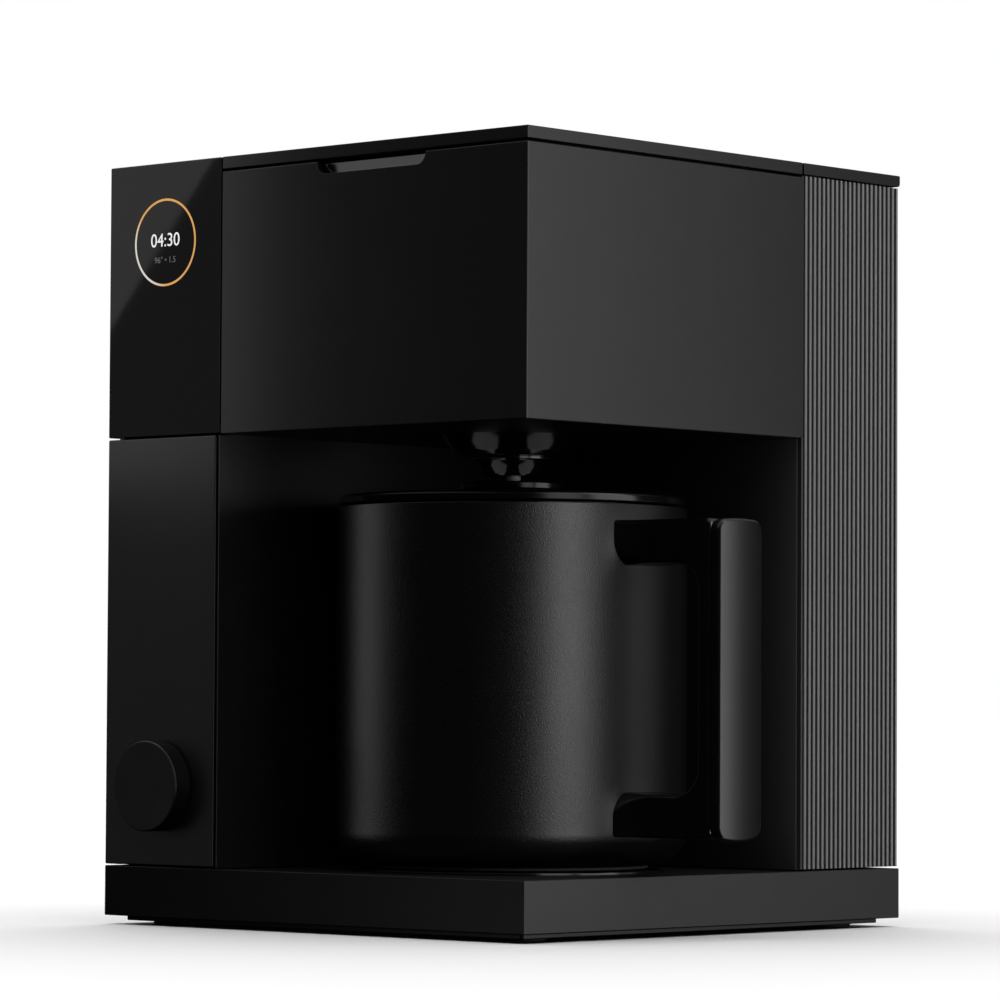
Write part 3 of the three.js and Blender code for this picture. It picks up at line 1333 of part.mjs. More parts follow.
function levelFloat() {
  const [bore, radius, height] = [FLOAT_POST_RADIUS + 0.6, 9, 14];
  const profile = [[bore, 0], [radius, 0], [radius, height], [bore, height]];
  const mesh = piece("level_float", lathe(profile, 24), FLOAT_WHITE);
  mesh.position.set(FLOAT_X, DOCK_Y, FLOAT_BOTTOM + GAP);
  return mesh;
}

// ---------------------------------------------------------------- assembly

function group(...members) {
  const set = new THREE.Group();
  set.add(...members);
  return set;
}

const base = group(
  baseSlab(),
  basePlinth(),
  ...Object.entries(FOOT_CENTRES).map(([name, centre]) => foot(name, centre)),
  carafePlatform(),
);
const column = group(
  columnCover(),
  columnFrame(),
  columnTop(),
  displayGlass(),
  displayModule(),
  controlPanel(),
  encoderBody(),
  mainBoard(),
  pumpMotor(),
  pumpHead(),
  pumpBracket(),
  flowHeater(),
  heaterBracket(),
  ...hoses(),
  powerInlet(),
);
const chamber = group(
  chamberHousing(),
  fingerScoop(),
  bayBackWall(),
  brewWell(),
  chamberDeck(),
  waterPort(),
  waterPortSeal(),
  hingeBracket("hinge_bracket_left", HINGE_CENTRES[0]),
  hingeBracket("hinge_bracket_right", HINGE_CENTRES[1]),
  hingePin("hinge_pin_left", HINGE_CENTRES[0]),
  hingePin("hinge_pin_right", HINGE_CENTRES[1]),
  brewBasket(),
  outletCone(),
  dripValveBody(),
  dripValvePlunger(),
  dripValveSpring(),
);
const brewLid = group(lidPanel(), lidLiner(), lidWaterChannel(), showerHead(), lidGasket());
const carafe = group(
  carafeBody(),
  carafeLiner(),
  carafeBase(),
  handleFrame(),
  handleCover(),
  carafeLid(),
  carafeLidSeal(),
  mixingTube(),
);
const control = group(encoderShaft(), knob());
const tank = group(tankBody(), tankLid(), tankValve(), levelFloat(), tankDock());

const brewer = group(base, column, chamber, brewLid, carafe, control, tank);
brewer.position.set(-(LEFT + HANDLE_RIGHT) / 2, -(KNOB_FRONT + BACK) / 2, 0);

export default brewer;
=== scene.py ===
"""Looks of the countertop coffee brewer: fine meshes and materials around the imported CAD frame.
Sizes and places are in millimetres until the mesh, light and material tools turn them into metres."""
import json
import math

import bmesh
import bpy
from mathutils import Matrix, Vector


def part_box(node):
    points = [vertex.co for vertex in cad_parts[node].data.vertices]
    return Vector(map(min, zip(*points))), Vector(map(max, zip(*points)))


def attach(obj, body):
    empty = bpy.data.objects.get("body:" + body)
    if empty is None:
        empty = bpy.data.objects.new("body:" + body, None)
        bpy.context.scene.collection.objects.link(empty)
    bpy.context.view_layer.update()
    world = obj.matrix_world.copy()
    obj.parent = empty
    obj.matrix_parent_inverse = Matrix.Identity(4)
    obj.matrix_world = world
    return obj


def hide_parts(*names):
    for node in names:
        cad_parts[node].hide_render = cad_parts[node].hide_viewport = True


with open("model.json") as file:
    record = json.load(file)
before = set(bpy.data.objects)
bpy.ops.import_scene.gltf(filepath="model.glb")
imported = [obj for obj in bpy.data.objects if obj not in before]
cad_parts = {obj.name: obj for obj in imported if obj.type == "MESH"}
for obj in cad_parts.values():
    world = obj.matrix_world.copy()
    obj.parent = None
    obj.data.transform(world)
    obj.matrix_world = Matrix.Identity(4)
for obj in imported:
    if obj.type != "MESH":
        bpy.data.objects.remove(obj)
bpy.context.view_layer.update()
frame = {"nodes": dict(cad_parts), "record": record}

MM = 0.001
RECORD = frame["record"]
BODY_OF = {node: body for body, nodes in RECORD["behaviour"]["bodies"].items() for node in nodes}
SLOT_OF = {row["node"]: row["material_slot"] for row in RECORD["subparts"]}
TURN = 144  # steps round a large circle
WIDE_TURN = 192  # steps round the carafe
FINE_TURN = 64  # steps round a small circle
UP = Vector((0, 0, 1))


class Box:
    """Sides of a CAD node's box at rest."""

    def __init__(self, node):
        low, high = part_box(node)
        self.left, self.front, self.bottom = (value / MM for value in low)
        self.right, self.back, self.top = (value / MM for value in high)
        self.x = (self.left + self.right) / 2
        self.y = (self.front + self.back) / 2
        self.z = (self.bottom + self.top) / 2
        self.width = self.right - self.left
        self.depth = self.back - self.front
        self.height = self.top - self.bottom

    def solid(self):
        return cuboid(self.left, self.front, self.bottom, self.right, self.back, self.top)


class Graph:
    """Node tree of a material or of the world."""

    def __init__(self, tree):
        self.nodes = tree.nodes
        self.links = tree.links

    def feed(self, socket, value):
        """Sets an input to a value, or links it to another node's output."""
        if isinstance(value, bpy.types.NodeSocket):
            self.links.new(value, socket)
        else:
            socket.default_value = value

    def add(self, kind, inputs, output=0, **settings):
        """One output of a new node with these inputs and settings."""
        node = self.nodes.new("ShaderNode" + kind)
        for name, value in settings.items():
            setattr(node, name, value)
        for key, value in inputs.items():
            self.feed(node.inputs[key], value)
        return node.outputs[output]


SLAB = Box("base_slab")
CARAFE = Box("carafe_body")
HOUSING = Box("chamber_housing")
DISPLAY = Box("display_module")
MIDDLE = Vector((SLAB.x, SLAB.y, 0))
BREW = Vector((CARAFE.x, CARAFE.y, 0))  # upright axis of the carafe, the basket and the outlet


# ---- camera, floor and sky

CAMERA_FROM_MIDDLE = Vector((1309.93, -1431.09, 86.76))
CAMERA_AZIMUTH = math.radians(42.53)
CAMERA_TILT_UP = math.radians(2.507)
CAMERA_ROLL = math.radians(0.304)
CAMERA_LENS = 172.53
CAMERA_SENSOR = 36
ACROSS_VIEW = Vector((math.cos(CAMERA_AZIMUTH), math.sin(CAMERA_AZIMUTH), 0))
ALONG_VIEW = Vector((-math.sin(CAMERA_AZIMUTH), math.cos(CAMERA_AZIMUTH), 0))


def make_camera():
    forward = ALONG_VIEW * math.cos(CAMERA_TILT_UP) + UP * math.sin(CAMERA_TILT_UP)
    level_up = ACROSS_VIEW.cross(forward)
    right = ACROSS_VIEW * math.cos(CAMERA_ROLL) + level_up * math.sin(CAMERA_ROLL)
    up = level_up * math.cos(CAMERA_ROLL) - ACROSS_VIEW * math.sin(CAMERA_ROLL)
    data = bpy.data.cameras.new("camera")
    data.lens = CAMERA_LENS
    data.sensor_width = CAMERA_SENSOR
    data.clip_start = 0.01
    data.clip_end = 100
    camera = bpy.data.objects.new("camera", data)
    turned = Matrix((right, up, -forward)).transposed().to_4x4()
    camera.matrix_world = Matrix.Translation((MIDDLE + CAMERA_FROM_MIDDLE) * MM) @ turned
    bpy.context.scene.collection.objects.link(camera)
    bpy.context.scene.camera = camera


BACKDROP_RADIANCE = 1.0
OVERHEAD_RADIANCE = 0.6
HORIZON_RADIANCE = 0.010
GLOW_STARTS, GLOW_FULL = 0.3, 0.75  # sines of the heights above the horizon


def make_world():
    """White behind the object, and a soft glow from above that fades to dark at the horizon."""
    world = bpy.data.worlds.new("studio")
    bpy.context.scene.world = world
    world.use_nodes = True
    graph = Graph(world.node_tree)
    graph.nodes.clear()
    place = graph.add("TexCoord", {}, "Generated")
    height = graph.add("SeparateXYZ", {0: place}, "Z")
    fade = graph.add("MapRange", {
        "Value": height, "From Min": GLOW_STARTS, "From Max": GLOW_FULL,
        "To Min": HORIZON_RADIANCE, "To Max": OVERHEAD_RADIANCE,
    }, "Result", interpolation_type="SMOOTHSTEP")
    in_view = graph.add("LightPath", {}, "Is Camera Ray")
    strength = graph.add("Mix", {"Factor": in_view, "A": fade, "B": BACKDROP_RADIANCE}, "Result")
    background = graph.add("Background", {"Color": (1, 1, 1, 1), "Strength": strength})
    graph.feed(graph.nodes.new("ShaderNodeOutputWorld").inputs[0], background)


FLOOR_SIZE = 30000
FLOOR_DROP = 0.02
FLOOR_WHITE = (0.86, 0.86, 0.86, 1)
FLOOR_SKY = 2.9
FLOOR_SKY_SPREAD = math.radians(120)
FLOOR_SKY_LEAN = 0.55  # from upright to behind the object


def make_floor():
    """White floor with a broad overhead light of its own, so that only its shadows show."""
    floor_outline = [(-1, -1), (1, -1), (1, 1), (-1, 1)]
    mesh = bpy.data.meshes.new("floor")
    corners = [(x * FLOOR_SIZE * MM, y * FLOOR_SIZE * MM, 0) for x, y in floor_outline]
    mesh.from_pydata(corners, [], [(0, 1, 2, 3)])
    floor = bpy.data.objects.new("floor", mesh)
    floor.location.z = -FLOOR_DROP * MM
    material = bpy.data.materials.new("floor_white")
    material.use_nodes = True
    shader = material.node_tree.nodes["Principled BSDF"]
    shader.inputs["Base Color"].default_value = FLOOR_WHITE
    shader.inputs["Roughness"].default_value = 0.9
    shader.inputs["Specular IOR Level"].default_value = 0.1
    mesh.materials.append(material)
    bpy.context.scene.collection.objects.link(floor)
    floor.visible_glossy = False
    floor.visible_diffuse = False
    data = bpy.data.lights.new("floor_sky", "SUN")
    data.energy = FLOOR_SKY
    data.angle = FLOOR_SKY_SPREAD
    sky = bpy.data.objects.new("floor_sky", data)
    sky.rotation_euler = (ALONG_VIEW * FLOOR_SKY_LEAN + UP).to_track_quat("Z", "Y").to_euler()
    bpy.context.scene.collection.objects.link(sky)
    light_linked(sky, ["floor"], "INCLUDE")


# ---- lights

FRONTS = ("chamber_housing", "lid_panel")
PANELS = ("control_panel", "column_cover", "column_frame", "knob")
CARAFE_PIECES = ("carafe_body", "carafe_base", "handle_frame")
WALL_LOW, WALL_HIGH = -150, 1300
CARAFE_LIGHT_HIGH = 600
WALL_DISTANCE = 1200


def around(azimuth, distance, height):
    """Point round the machine: azimuth 0 is in front of it, 90 on its right."""
    turn = math.radians(azimuth)
    return MIDDLE + Vector((distance * math.sin(turn), -distance * math.cos(turn), height))


def light_linked(light, nodes, state):
    """Makes a light fall only on these nodes' pieces (INCLUDE), or on all others (EXCLUDE)."""
    group = bpy.data.collections.new(light.name + "_group")
    for node in nodes:
        group.objects.link(bpy.data.objects.get(node + "_fine") or bpy.data.objects[node])
    for entry in group.collection_objects:
        entry.light_linking.link_state = state
    light.light_linking.receiver_collection = group


def softbox(name, centre, facing, width, height, radiance, only=None, across=None):
    """Evenly bright area light at centre, with its width level or along across."""
    data = bpy.data.lights.new(name, "AREA")
    data.shape = "RECTANGLE"
    data.size = width * MM
    data.size_y = height * MM
    data.energy = radiance * math.pi * data.size * data.size_y
    light = bpy.data.objects.new(name, data)
    facing = facing.normalized()
    across = across or facing.cross(UP)
    turned = Matrix((across, facing.cross(across), -facing)).transposed().to_4x4()
    light.matrix_world = Matrix.Translation(centre * MM) @ turned
    light.visible_camera = False
    bpy.context.scene.collection.objects.link(light)
    if only:
        light_linked(light, only, "INCLUDE")
    else:
        light_linked(light, ("floor", "carafe_body", "handle_cover"), "EXCLUDE")


def wall(name, azimuth, spread, radiance, only=None, low=WALL_LOW, high=WALL_HIGH,
         distance=WALL_DISTANCE):
    """Upright softbox round the machine, spread wide in degrees."""
    height = (low + high) / 2
    width = 2 * distance * math.tan(math.radians(spread / 2))
    centre = around(azimuth, distance, height)
    softbox(name, centre, around(azimuth, 0, height) - centre, width, high - low, radiance, only)


def glass_reflection():
    """What the display window mirrors: a bright card whose edge runs across it at a slant."""
    glass = Box("display_glass")
    inset, slant_drop = 3, 62
    reach, size, gap = 250, 400, 10
    mirrored_eye = MIDDLE + CAMERA_FROM_MIDDLE
    mirrored_eye.y = 2 * glass.front - mirrored_eye.y

    def mirrored(x, z):
        spot = Vector((x, glass.front, z))
        ray = spot - mirrored_eye
        return spot + ray * reach / -ray.y

    first = mirrored(glass.right - inset, glass.top)
    second = mirrored(glass.left + inset, glass.top - slant_drop)
    edge = first - second
    outward = Vector((-edge.z, 0, edge.x)).normalized()
    centre = (first + second) / 2 + outward * size / 2
    backward = Vector((0, 1, 0))
    softbox("glass_card", centre, backward, 4 * size, size, 0.42, ["display_glass"],
            edge.normalized())
    softbox("glass_glow", centre - backward * gap, backward, 4 * size, 4 * size, 0.13,
            ["display_glass"])


def outlet_reflections():
    """Bright patches low on either side, mirrored in the outlet cone and in the valve."""
    height = UP * (Box("carafe_lid").top + 0.8)
    cards = (
        ("cone", "outlet_cone", 19, 23, 18, 14, 0.4),
        ("valve", "drip_valve_body", 9.5, 12.5, 11, 7, 0.5),
    )
    for name, node, aside, ahead, width, depth, radiance in cards:
        for side, end in ((-1, "left"), (1, "right")):
            centre = BREW + ACROSS_VIEW * side * aside - ALONG_VIEW * ahead + height
            softbox(f"{name}_card_{end}", centre, UP, width, depth, radiance, [node], ACROSS_VIEW)


def bay_reflection():
    """Faint sheen on the bay's rear wall, beyond the handle."""
    back = Box("bay_back_wall")
    gap, height = 40, 120
    spot = Vector((Box("handle_cover").left - gap, back.front - gap, height))
    softbox("bay_card", spot, Vector((0.1, 1, 0)), 20, 300, 1.6, ["bay_back_wall"])


def cover_reflection():
    """Card close to the handle's outer face, which is brightest along its front edge."""
    cover = Box("handle_cover")
    gap, behind_edge = 45, 40.4
    spot = Vector((cover.right + gap, cover.front + behind_edge, cover.z))
    softbox("cover_card", spot, Vector((-1, 0, 0)), 12, 500, 6.0, ["handle_cover"])


def make_lights():
    wall("side_wall", 110, 34, 2.8)
    wall("side_strip", 75, 24, 1.8)
    wall("low_side", 139, 14, 1.0, high=100)
    wall("front_glow", -45, 70, 0.024, FRONTS)
    wall("panel_glow", -45, 70, 0.14, PANELS)
    wall("face_glow", 0, 24, 0.03, FRONTS + PANELS)
    wall("edge_glow", 46, 24, 0.7, FRONTS + PANELS)
    wall("carafe_strip", 78, 21, 5.3, CARAFE_PIECES, high=CARAFE_LIGHT_HIGH)
    wall("carafe_side", 126, 34, 0.65, CARAFE_PIECES, high=CARAFE_LIGHT_HIGH)
    wall("left_strip", -77, 50, 0.9, CARAFE_PIECES, high=CARAFE_LIGHT_HIGH)
    wall("rib_light", 155, 30, 3.3, ["tank_body"])
    wall("low_front", -14, 26, 0.33, ["base_slab", "base_plinth"], high=120, distance=500)
    inward = Vector((0.1, 0.11, 0))
    softbox("near_card", MIDDLE + Vector((-115, -167, 330)), inward, 34, 340, 0.8, FRONTS)
    softbox("panel_card", MIDDLE + Vector((-175, -190, 360)), inward, 90, 350, 0.74, PANELS)
    wall("scoop_card", -45, 60, 1.2, ["finger_scoop"], 100, 1100)
    wall("scoop_side", 45, 50, 0.5, ["finger_scoop"], 100, 1100)
    bay_reflection()
    glass_reflection()
    cover_reflection()
    outlet_reflections()


# ---- mesh tools

ON_AXIS = 1e-6  # smaller radii lie on the axis


def arc(centre, radius, start, end, steps):
    """Points of an arc between two angles in degrees."""
    points = []
    for i in range(steps + 1):
        angle = math.radians(start + (end - start) * i / steps)
        points.append(Vector((centre[0] + radius * math.cos(angle),
                              centre[1] + radius * math.sin(angle))))
    return points


def circle(centre, radius, steps):
    return arc(centre, radius, 0, 360 - 360 / steps, steps - 1)


def fillet(corners, steps=5):
    """Outline through corners (a, b) or (a, b, radius), with an arc at each corner with a radius."""
    count = len(corners)
    points = []
    for i, corner in enumerate(corners):
        here = Vector(corner[:2])
        if len(corner) < 3:
            points.append(here)
            continue
        radius = corner[2]
        before = (Vector(corners[i - 1][:2]) - here).normalized()
        after = (Vector(corners[(i + 1) % count][:2]) - here).normalized()
        half = before.angle(after) / 2
        centre = here + (before + after).normalized() * radius / math.sin(half)
        first = here + before * radius / math.tan(half) - centre
        last = here + after * radius / math.tan(half) - centre
        start = math.atan2(first.y, first.x)
        turn = (math.atan2(last.y, last.x) - start + math.pi) % (2 * math.pi) - math.pi
        for step in range(steps + 1):
            angle = start + turn * step / steps
            points.append(centre + radius * Vector((math.cos(angle), math.sin(angle))))
    return points


def rectangle(a0, b0, a1, b1, radius, steps=5):
    return fillet([(a0, b0, radius), (a1, b0, radius), (a1, b1, radius), (a0, b1, radius)],
                  steps=steps)


def bridge(form, low, high):
    """Faces between two rings of vertices, which may lie on one point."""
    count = len(low)
    for i in range(count):
        j = (i + 1) % count
        loop = []
        for vertex in (low[i], low[j], high[j], high[i]):
            if vertex not in loop:
                loop.append(vertex)
        if len(loop) > 2:
            form.faces.new(loop)


def revolve(profile, steps=TURN, centre=(0, 0, 0), axis="z"):
    """Solid of revolution. The profile lists (radius, height); it closes on itself or on the axis."""
    form = bmesh.new()
    rings = []
    for radius, height in profile:
        if radius < ON_AXIS:
            rings.append([form.verts.new((0, 0, height * MM))] * steps)
            continue
        ring = []
        for i in range(steps):
            angle = 2 * math.pi * i / steps
            x, y = radius * math.cos(angle), radius * math.sin(angle)
            ring.append(form.verts.new((x * MM, y * MM, height * MM)))
        rings.append(ring)
    on_axis = profile[0][0] < ON_AXIS and profile[-1][0] < ON_AXIS
    for low, high in zip(rings, rings[1:] if on_axis else rings[1:] + rings[:1]):
        bridge(form, low, high)
    if axis == "y":
        form.transform(Matrix.Rotation(math.radians(-90), 4, "X"))
    if axis == "x":
        form.transform(Matrix.Rotation(math.radians(90), 4, "Y"))
    form.transform(Matrix.Translation(Vector(centre) * MM))
    bmesh.ops.recalc_face_normals(form, faces=form.faces)
    return form


def loft(rings):
    """Solid through rings of points, each ring with as many points as the next."""
    form = bmesh.new()
    rows = [[form.verts.new((x * MM, y * MM, z * MM)) for x, y, z in ring] for ring in rings]
    for first, second in zip(rows, rows[1:]):
        bridge(form, first, second)
    form.faces.new(rows[0])
    form.faces.new(rows[-1])
    bmesh.ops.recalc_face_normals(form, faces=form.faces)
    return form


def prism(outline, low, high, axis="z"):
    """Extrusion of an outline: (x, y) along z, (x, z) along y, (y, z) along x."""
    spot = {
        "z": lambda a, b, c: (a, b, c),
        "y": lambda a, b, c: (a, c, b),
        "x": lambda a, b, c: (c, a, b),
    }[axis]
    return loft([[spot(a, b, level) for a, b in outline] for level in (low, high)])


def cuboid(left, front, bottom, right, back, top):
    return prism([(left, front), (right, front), (right, back), (left, back)], bottom, top)


def cylinder(centre, radius, low, high, axis="z", steps=FINE_TURN):
    """Round rod along an axis; centre gives the other two coordinates, in order."""
    return prism(circle(centre, radius, steps), low, high, axis)


def bevel(form, edges, width, segments, clamp=True):
    bmesh.ops.bevel(form, geom=edges, offset=width * MM, offset_type="OFFSET", segments=segments,
                    profile=0.5, affect="EDGES", clamp_overlap=clamp)


def is_sharp(edge, degrees):
    return len(edge.link_faces) == 2 and edge.calc_face_angle(0) > math.radians(degrees)


def soften(form, width, segments=3, angle=30):
    """Rounds every edge that is sharper than the angle."""
    bevel(form, [edge for edge in form.edges if is_sharp(edge, angle)], width, segments)
    return form


def set_down(form, place, degrees):
    """Turns a form about the upright axis, and then moves it."""
    turn = Matrix.Rotation(math.radians(degrees), 4, "Z")
    form.transform(Matrix.Translation(Vector(place) * MM) @ turn)
    return form


def tidy(form):
    bmesh.ops.remove_doubles(form, verts=form.verts, dist=1e-6)
    bmesh.ops.dissolve_limit(form, angle_limit=0.001, verts=form.verts, edges=form.edges)


def to_mesh(form, name):
    mesh = bpy.data.meshes.new(name)
    bmesh.ops.recalc_face_normals(form, faces=form.faces)
    form.to_mesh(mesh)
    form.free()
    return mesh


def from_mesh(mesh):
    """Form of a mesh that is not needed any more."""
    form = bmesh.new()
    form.from_mesh(mesh)
    bpy.data.meshes.remove(mesh)
    return form


def combine(operation, base, tools):
    """Base after a boolean with each tool."""
    objects = []
    for form in (base, *tools):
        objects.append(bpy.data.objects.new("work", to_mesh(form, "work")))
        bpy.context.scene.collection.objects.link(objects[-1])
    for tool in objects[1:]:
        modifier = objects[0].modifiers.new("boolean", "BOOLEAN")
        modifier.operation = operation
        modifier.solver = "EXACT"
        modifier.object = tool
    graph = bpy.context.evaluated_depsgraph_get()
    form = from_mesh(bpy.data.meshes.new_from_object(objects[0].evaluated_get(graph)))
    for work in objects:
        data = work.data
        bpy.data.objects.remove(work)
        bpy.data.meshes.remove(data)
    tidy(form)
    return form


def cut(base, *tools):
    return combine("DIFFERENCE", base, tools)


def join(base, *tools):
    return combine("UNION", base, tools)


def publish(name, form, material, body, sharp=35):
    """Shown piece from a mesh, riding on a body."""
    mesh = to_mesh(form, name)
    mesh.shade_smooth()
    mesh.set_sharp_from_angle(angle=math.radians(sharp))
    mesh.materials.append(material)
    piece = bpy.data.objects.new(name, mesh)
    bpy.context.scene.collection.objects.link(piece)
    even = piece.modifiers.new("even_normals", "WEIGHTED_NORMAL")
    even.keep_sharp = True
    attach(piece, body)
    return piece


def replace(node, form):
    """Fine piece that stands for a CAD node, with that node's body and usually its finish."""
    slot = SLOT_OF[node]
    material = MATERIALS[OWN_FINISH.get(node, slot)]
    sharp = SMOOTH_UP_TO.get(node, 35)
    piece = publish(f"{node}_fine", form, material, BODY_OF[node], sharp)
    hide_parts(node)


def turned(corners, steps=TURN, centre=BREW, axis="z", arc_steps=5):
    """Solid that an outline with rounded corners sweeps round an axis."""
    return revolve(fillet(corners, arc_steps), steps, centre, axis)


# ---- materials

WEAR_STRENGTH = 0.4
WEAR_PATCH = 9
FLAT_EDGE, WORN_EDGE = 0.53, 0.62  # pointiness where wear starts and where it is full
BUMP_DETAIL = 2.0


class Surface(Graph):
    """Principled material whose colour, roughness and relief come from noise in object space."""

    def __init__(self, name, color, roughness, metallic=0.0, specular=0.5):
        self.material = bpy.data.materials.new(name)
        self.material.use_nodes = True
        super().__init__(self.material.node_tree)
        self.inputs = self.nodes["Principled BSDF"].inputs
        self.inputs["Base Color"].default_value = (*color, 1)
        self.inputs["Roughness"].default_value = roughness
        self.inputs["Metallic"].default_value = metallic
        self.inputs["Specular IOR Level"].default_value = specular
        self.place = self.add("TexCoord", {}, "Object")
        self.color = color
        self.roughness = roughness
        self.color_out = None

    def noise(self, size, detail=3.0, stretch=(1, 1, 1)):
        """Noise whose grains are about size across."""
        place = self.add("Mapping", {"Vector": self.place, "Scale": stretch})
        inputs = {"Vector": place, "Scale": 1 / (size * MM), "Detail": detail}
        return self.add("TexNoise", inputs, "Fac")

    def math(self, operation, a, b):
        return self.add("Math", {0: a, 1: b}, operation=operation)

    def span(self, value, low, high, from_low=0.3, from_high=0.7):
        return self.add("MapRange", {
            "Value": value, "From Min": from_low, "From Max": from_high,
            "To Min": low, "To Max": high}, "Result")

    def blend_color(self, factor, a, b):
        return self.add("Mix", {0: factor, 6: a, 7: b}, 2, data_type="RGBA")

    def mottle(self, size, amount):
        """Colour that wanders lighter and darker by a share of itself."""
        dark, light = ((*(c * share for c in self.color), 1) for share in (1 - amount, 1 + amount))
        self.color_out = self.blend_color(self.span(self.noise(size), 0, 1), dark, light)

    def wear(self, color):
        """Edges rubbed towards a lighter colour, in patches."""
        pointed = self.add("NewGeometry", {}, "Pointiness")
        edge = self.span(pointed, 0, WEAR_STRENGTH, FLAT_EDGE, WORN_EDGE)
        worn = self.math("MULTIPLY", edge, self.span(self.noise(WEAR_PATCH), 0.2, 1))
        self.color_out = self.blend_color(worn, self.color_out, (*color, 1))

    def rub(self, size, amount, fine=None):
        """Roughness that wanders by an amount up and down."""
        level = self.span(self.noise(size), self.roughness - amount, self.roughness + amount)
        if fine:
            ripple = self.span(self.noise(fine), -amount / 2, amount / 2)
            level = self.math("ADD", level, ripple)
        self.feed(self.inputs["Roughness"], level)

    def relief(self, size, depth, stretch=(1, 1, 1)):
        """Fine bumps, each about size across and depth high."""
        height = self.noise(size, BUMP_DETAIL, stretch)
        bumps = {"Strength": 1, "Distance": depth * MM, "Height": height}
        self.feed(self.inputs["Normal"], self.add("Bump", bumps))

    def done(self):
        self.feed(self.inputs["Base Color"], self.color_out)
        return self.material


MATERIALS = {}


def textured(name, color, roughness, mottle, rub, relief, worn=None, metallic=0.0, specular=0.5):
    """Material from the arguments of mottle, rub and relief, with worn as the colour of its edges."""
    surface = Surface(name, color, roughness, metallic, specular)
    surface.mottle(*mottle)
    if worn:
        surface.wear(worn)
    surface.rub(*rub)
    surface.relief(*relief)
    MATERIALS[name] = surface.done()


def moulded(name, color, roughness, relief=(0.35, 0.004), specular=0.5):
    """Moulded plastic: fine spark grain, faint cloudiness, edges slightly polished."""
    worn = tuple(min(1, c * 2 + 0.004) for c in color)
    textured(name, color, roughness, (6, 0.08), (70, 0.008, 1.5), relief, worn, specular=specular)


def glossy(name, color, roughness, rub=(12, 0.03, 1), relief=(2.5, 0.002), specular=0.5):
    """Polished plastic, slightly wavy."""
    textured(name, color, roughness, (20, 0.12), rub, relief, specular=specular)


def lit(name, color, strength, fade_to=None):
    """Glowing display segment; fade_to tints its lower left."""
    surface = Surface(name, color, 0.35)
    surface.mottle(4, 0.04)
    surface.rub(3, 0.03)
    if fade_to:
        slope, start, end = 0.55, -17, -9
        x, z = (surface.add("SeparateXYZ", {0: surface.place}, axis) for axis in "XZ")
        slant = surface.math("ADD", x, surface.math("MULTIPLY", z, slope))
        centre = DISPLAY.x + slope * DISPLAY.z
        factor = surface.span(slant, 1, 0, (centre + start) * MM, (centre + end) * MM)
        surface.color_out = surface.blend_color(factor, surface.color_out, (*fade_to, 1))
    surface.feed(surface.inputs["Emission Color"], surface.color_out)
    surface.inputs["Emission Strength"].default_value = strength
    return surface.done()


moulded("case_satin", (0.0034, 0.0034, 0.0036), 0.38)
moulded("base_satin", (0.0034, 0.0034, 0.0036), 0.40)
moulded("bay_lining", (0.0022, 0.0022, 0.0023), 0.42)
moulded("handle_satin", (0.0030, 0.0030, 0.0032), 0.34)
moulded("knob_satin", (0.0030, 0.0030, 0.0032), 0.36, specular=0.36)
moulded("inner_plastic", (0.028, 0.028, 0.030), 0.45, (0.5, 0.006))
moulded("float_white", (0.72, 0.72, 0.68), 0.5)
moulded("rubber", (0.010, 0.010, 0.010), 0.75, (0.5, 0.01))
glossy("gloss_trim", (0.0022, 0.0022, 0.0023), 0.16)
glossy("lid_gloss", (0.0022, 0.0022, 0.0023), 0.19, specular=0.3)
glossy("handle_gloss", (0.0016, 0.0016, 0.0017), 0.22, (12, 0.04, 1), (0.6, 0.002))
textured("display_gloss", (0.0020, 0.0020, 0.0021), 0.045, (60, 0.1), (40, 0.012, 1.5), (18, 0.002))
textured("tank_ribbed", (0.042, 0.042, 0.043), 0.38, (30, 0.04), (70, 0.006, 1.5), (0.35, 0.003))
textured("silicone", (0.30, 0.31, 0.32), 0.42, (8, 0.1), (5, 0.06), (0.5, 0.004))
textured("circuit_board", (0.012, 0.075, 0.035), 0.35, (3, 0.25), (2, 0.05), (1.2, 0.01))
textured("coated_steel", (0.0009, 0.0009, 0.0009), 0.335, (12, 0.14), (25, 0.012, 1.2),
         (0.45, 0.11), worn=(0.006, 0.006, 0.006))
textured("bare_steel", (0.58, 0.58, 0.57), 0.24, (15, 0.06), (3, 0.06, 0.4),
         (0.25, 0.003, (1, 1, 0.06)), metallic=1.0)
textured("heater_aluminium", (0.50, 0.51, 0.53), 0.38, (6, 0.12), (4, 0.08), (0.8, 0.02),
         metallic=1.0)


# ---- base

FEET = ("foot_front_left", "foot_front_right", "foot_back_left", "foot_back_right")


def base_slab(box):
    """Slab with a shallow seat for the platform, hollow and ribbed underneath."""
    wall_width, roof, rib = 8, 4, 2.4
    cells, corner = 3, 2
    platform = Box("carafe_platform")
    seat = cylinder(BREW, platform.width / 2 + 0.4, platform.bottom - 0.3, box.top + 1, steps=TURN)
    cell_width = (box.width - 2 * wall_width - (cells - 1) * rib) / cells
    cell_depth = (box.depth - 2 * wall_width - (cells - 1) * rib) / cells
    pockets = []
    for column in range(cells):
        for row in range(cells):
            x = box.left + wall_width + column * (cell_width + rib)
            y = box.front + wall_width + row * (cell_depth + rib)
            outline = rectangle(x, y, x + cell_width, y + cell_depth, corner)
            pockets.append(prism(outline, box.bottom - 1, box.top - roof))
    return cut(soften(box.solid(), 0.35), seat, *pockets)


def base_plinth(box):
    corner, gap = 2, 0.3
    plate = prism(rectangle(box.left, box.front, box.right, box.back, corner, 6),
                  box.bottom, box.top)
    recesses = []
    for pad in map(Box, FEET):
        recesses.append(cylinder((pad.x, pad.y), pad.width / 2 + gap, box.bottom - 1, pad.top + gap))
    return cut(soften(plate, 0.25), *recesses)


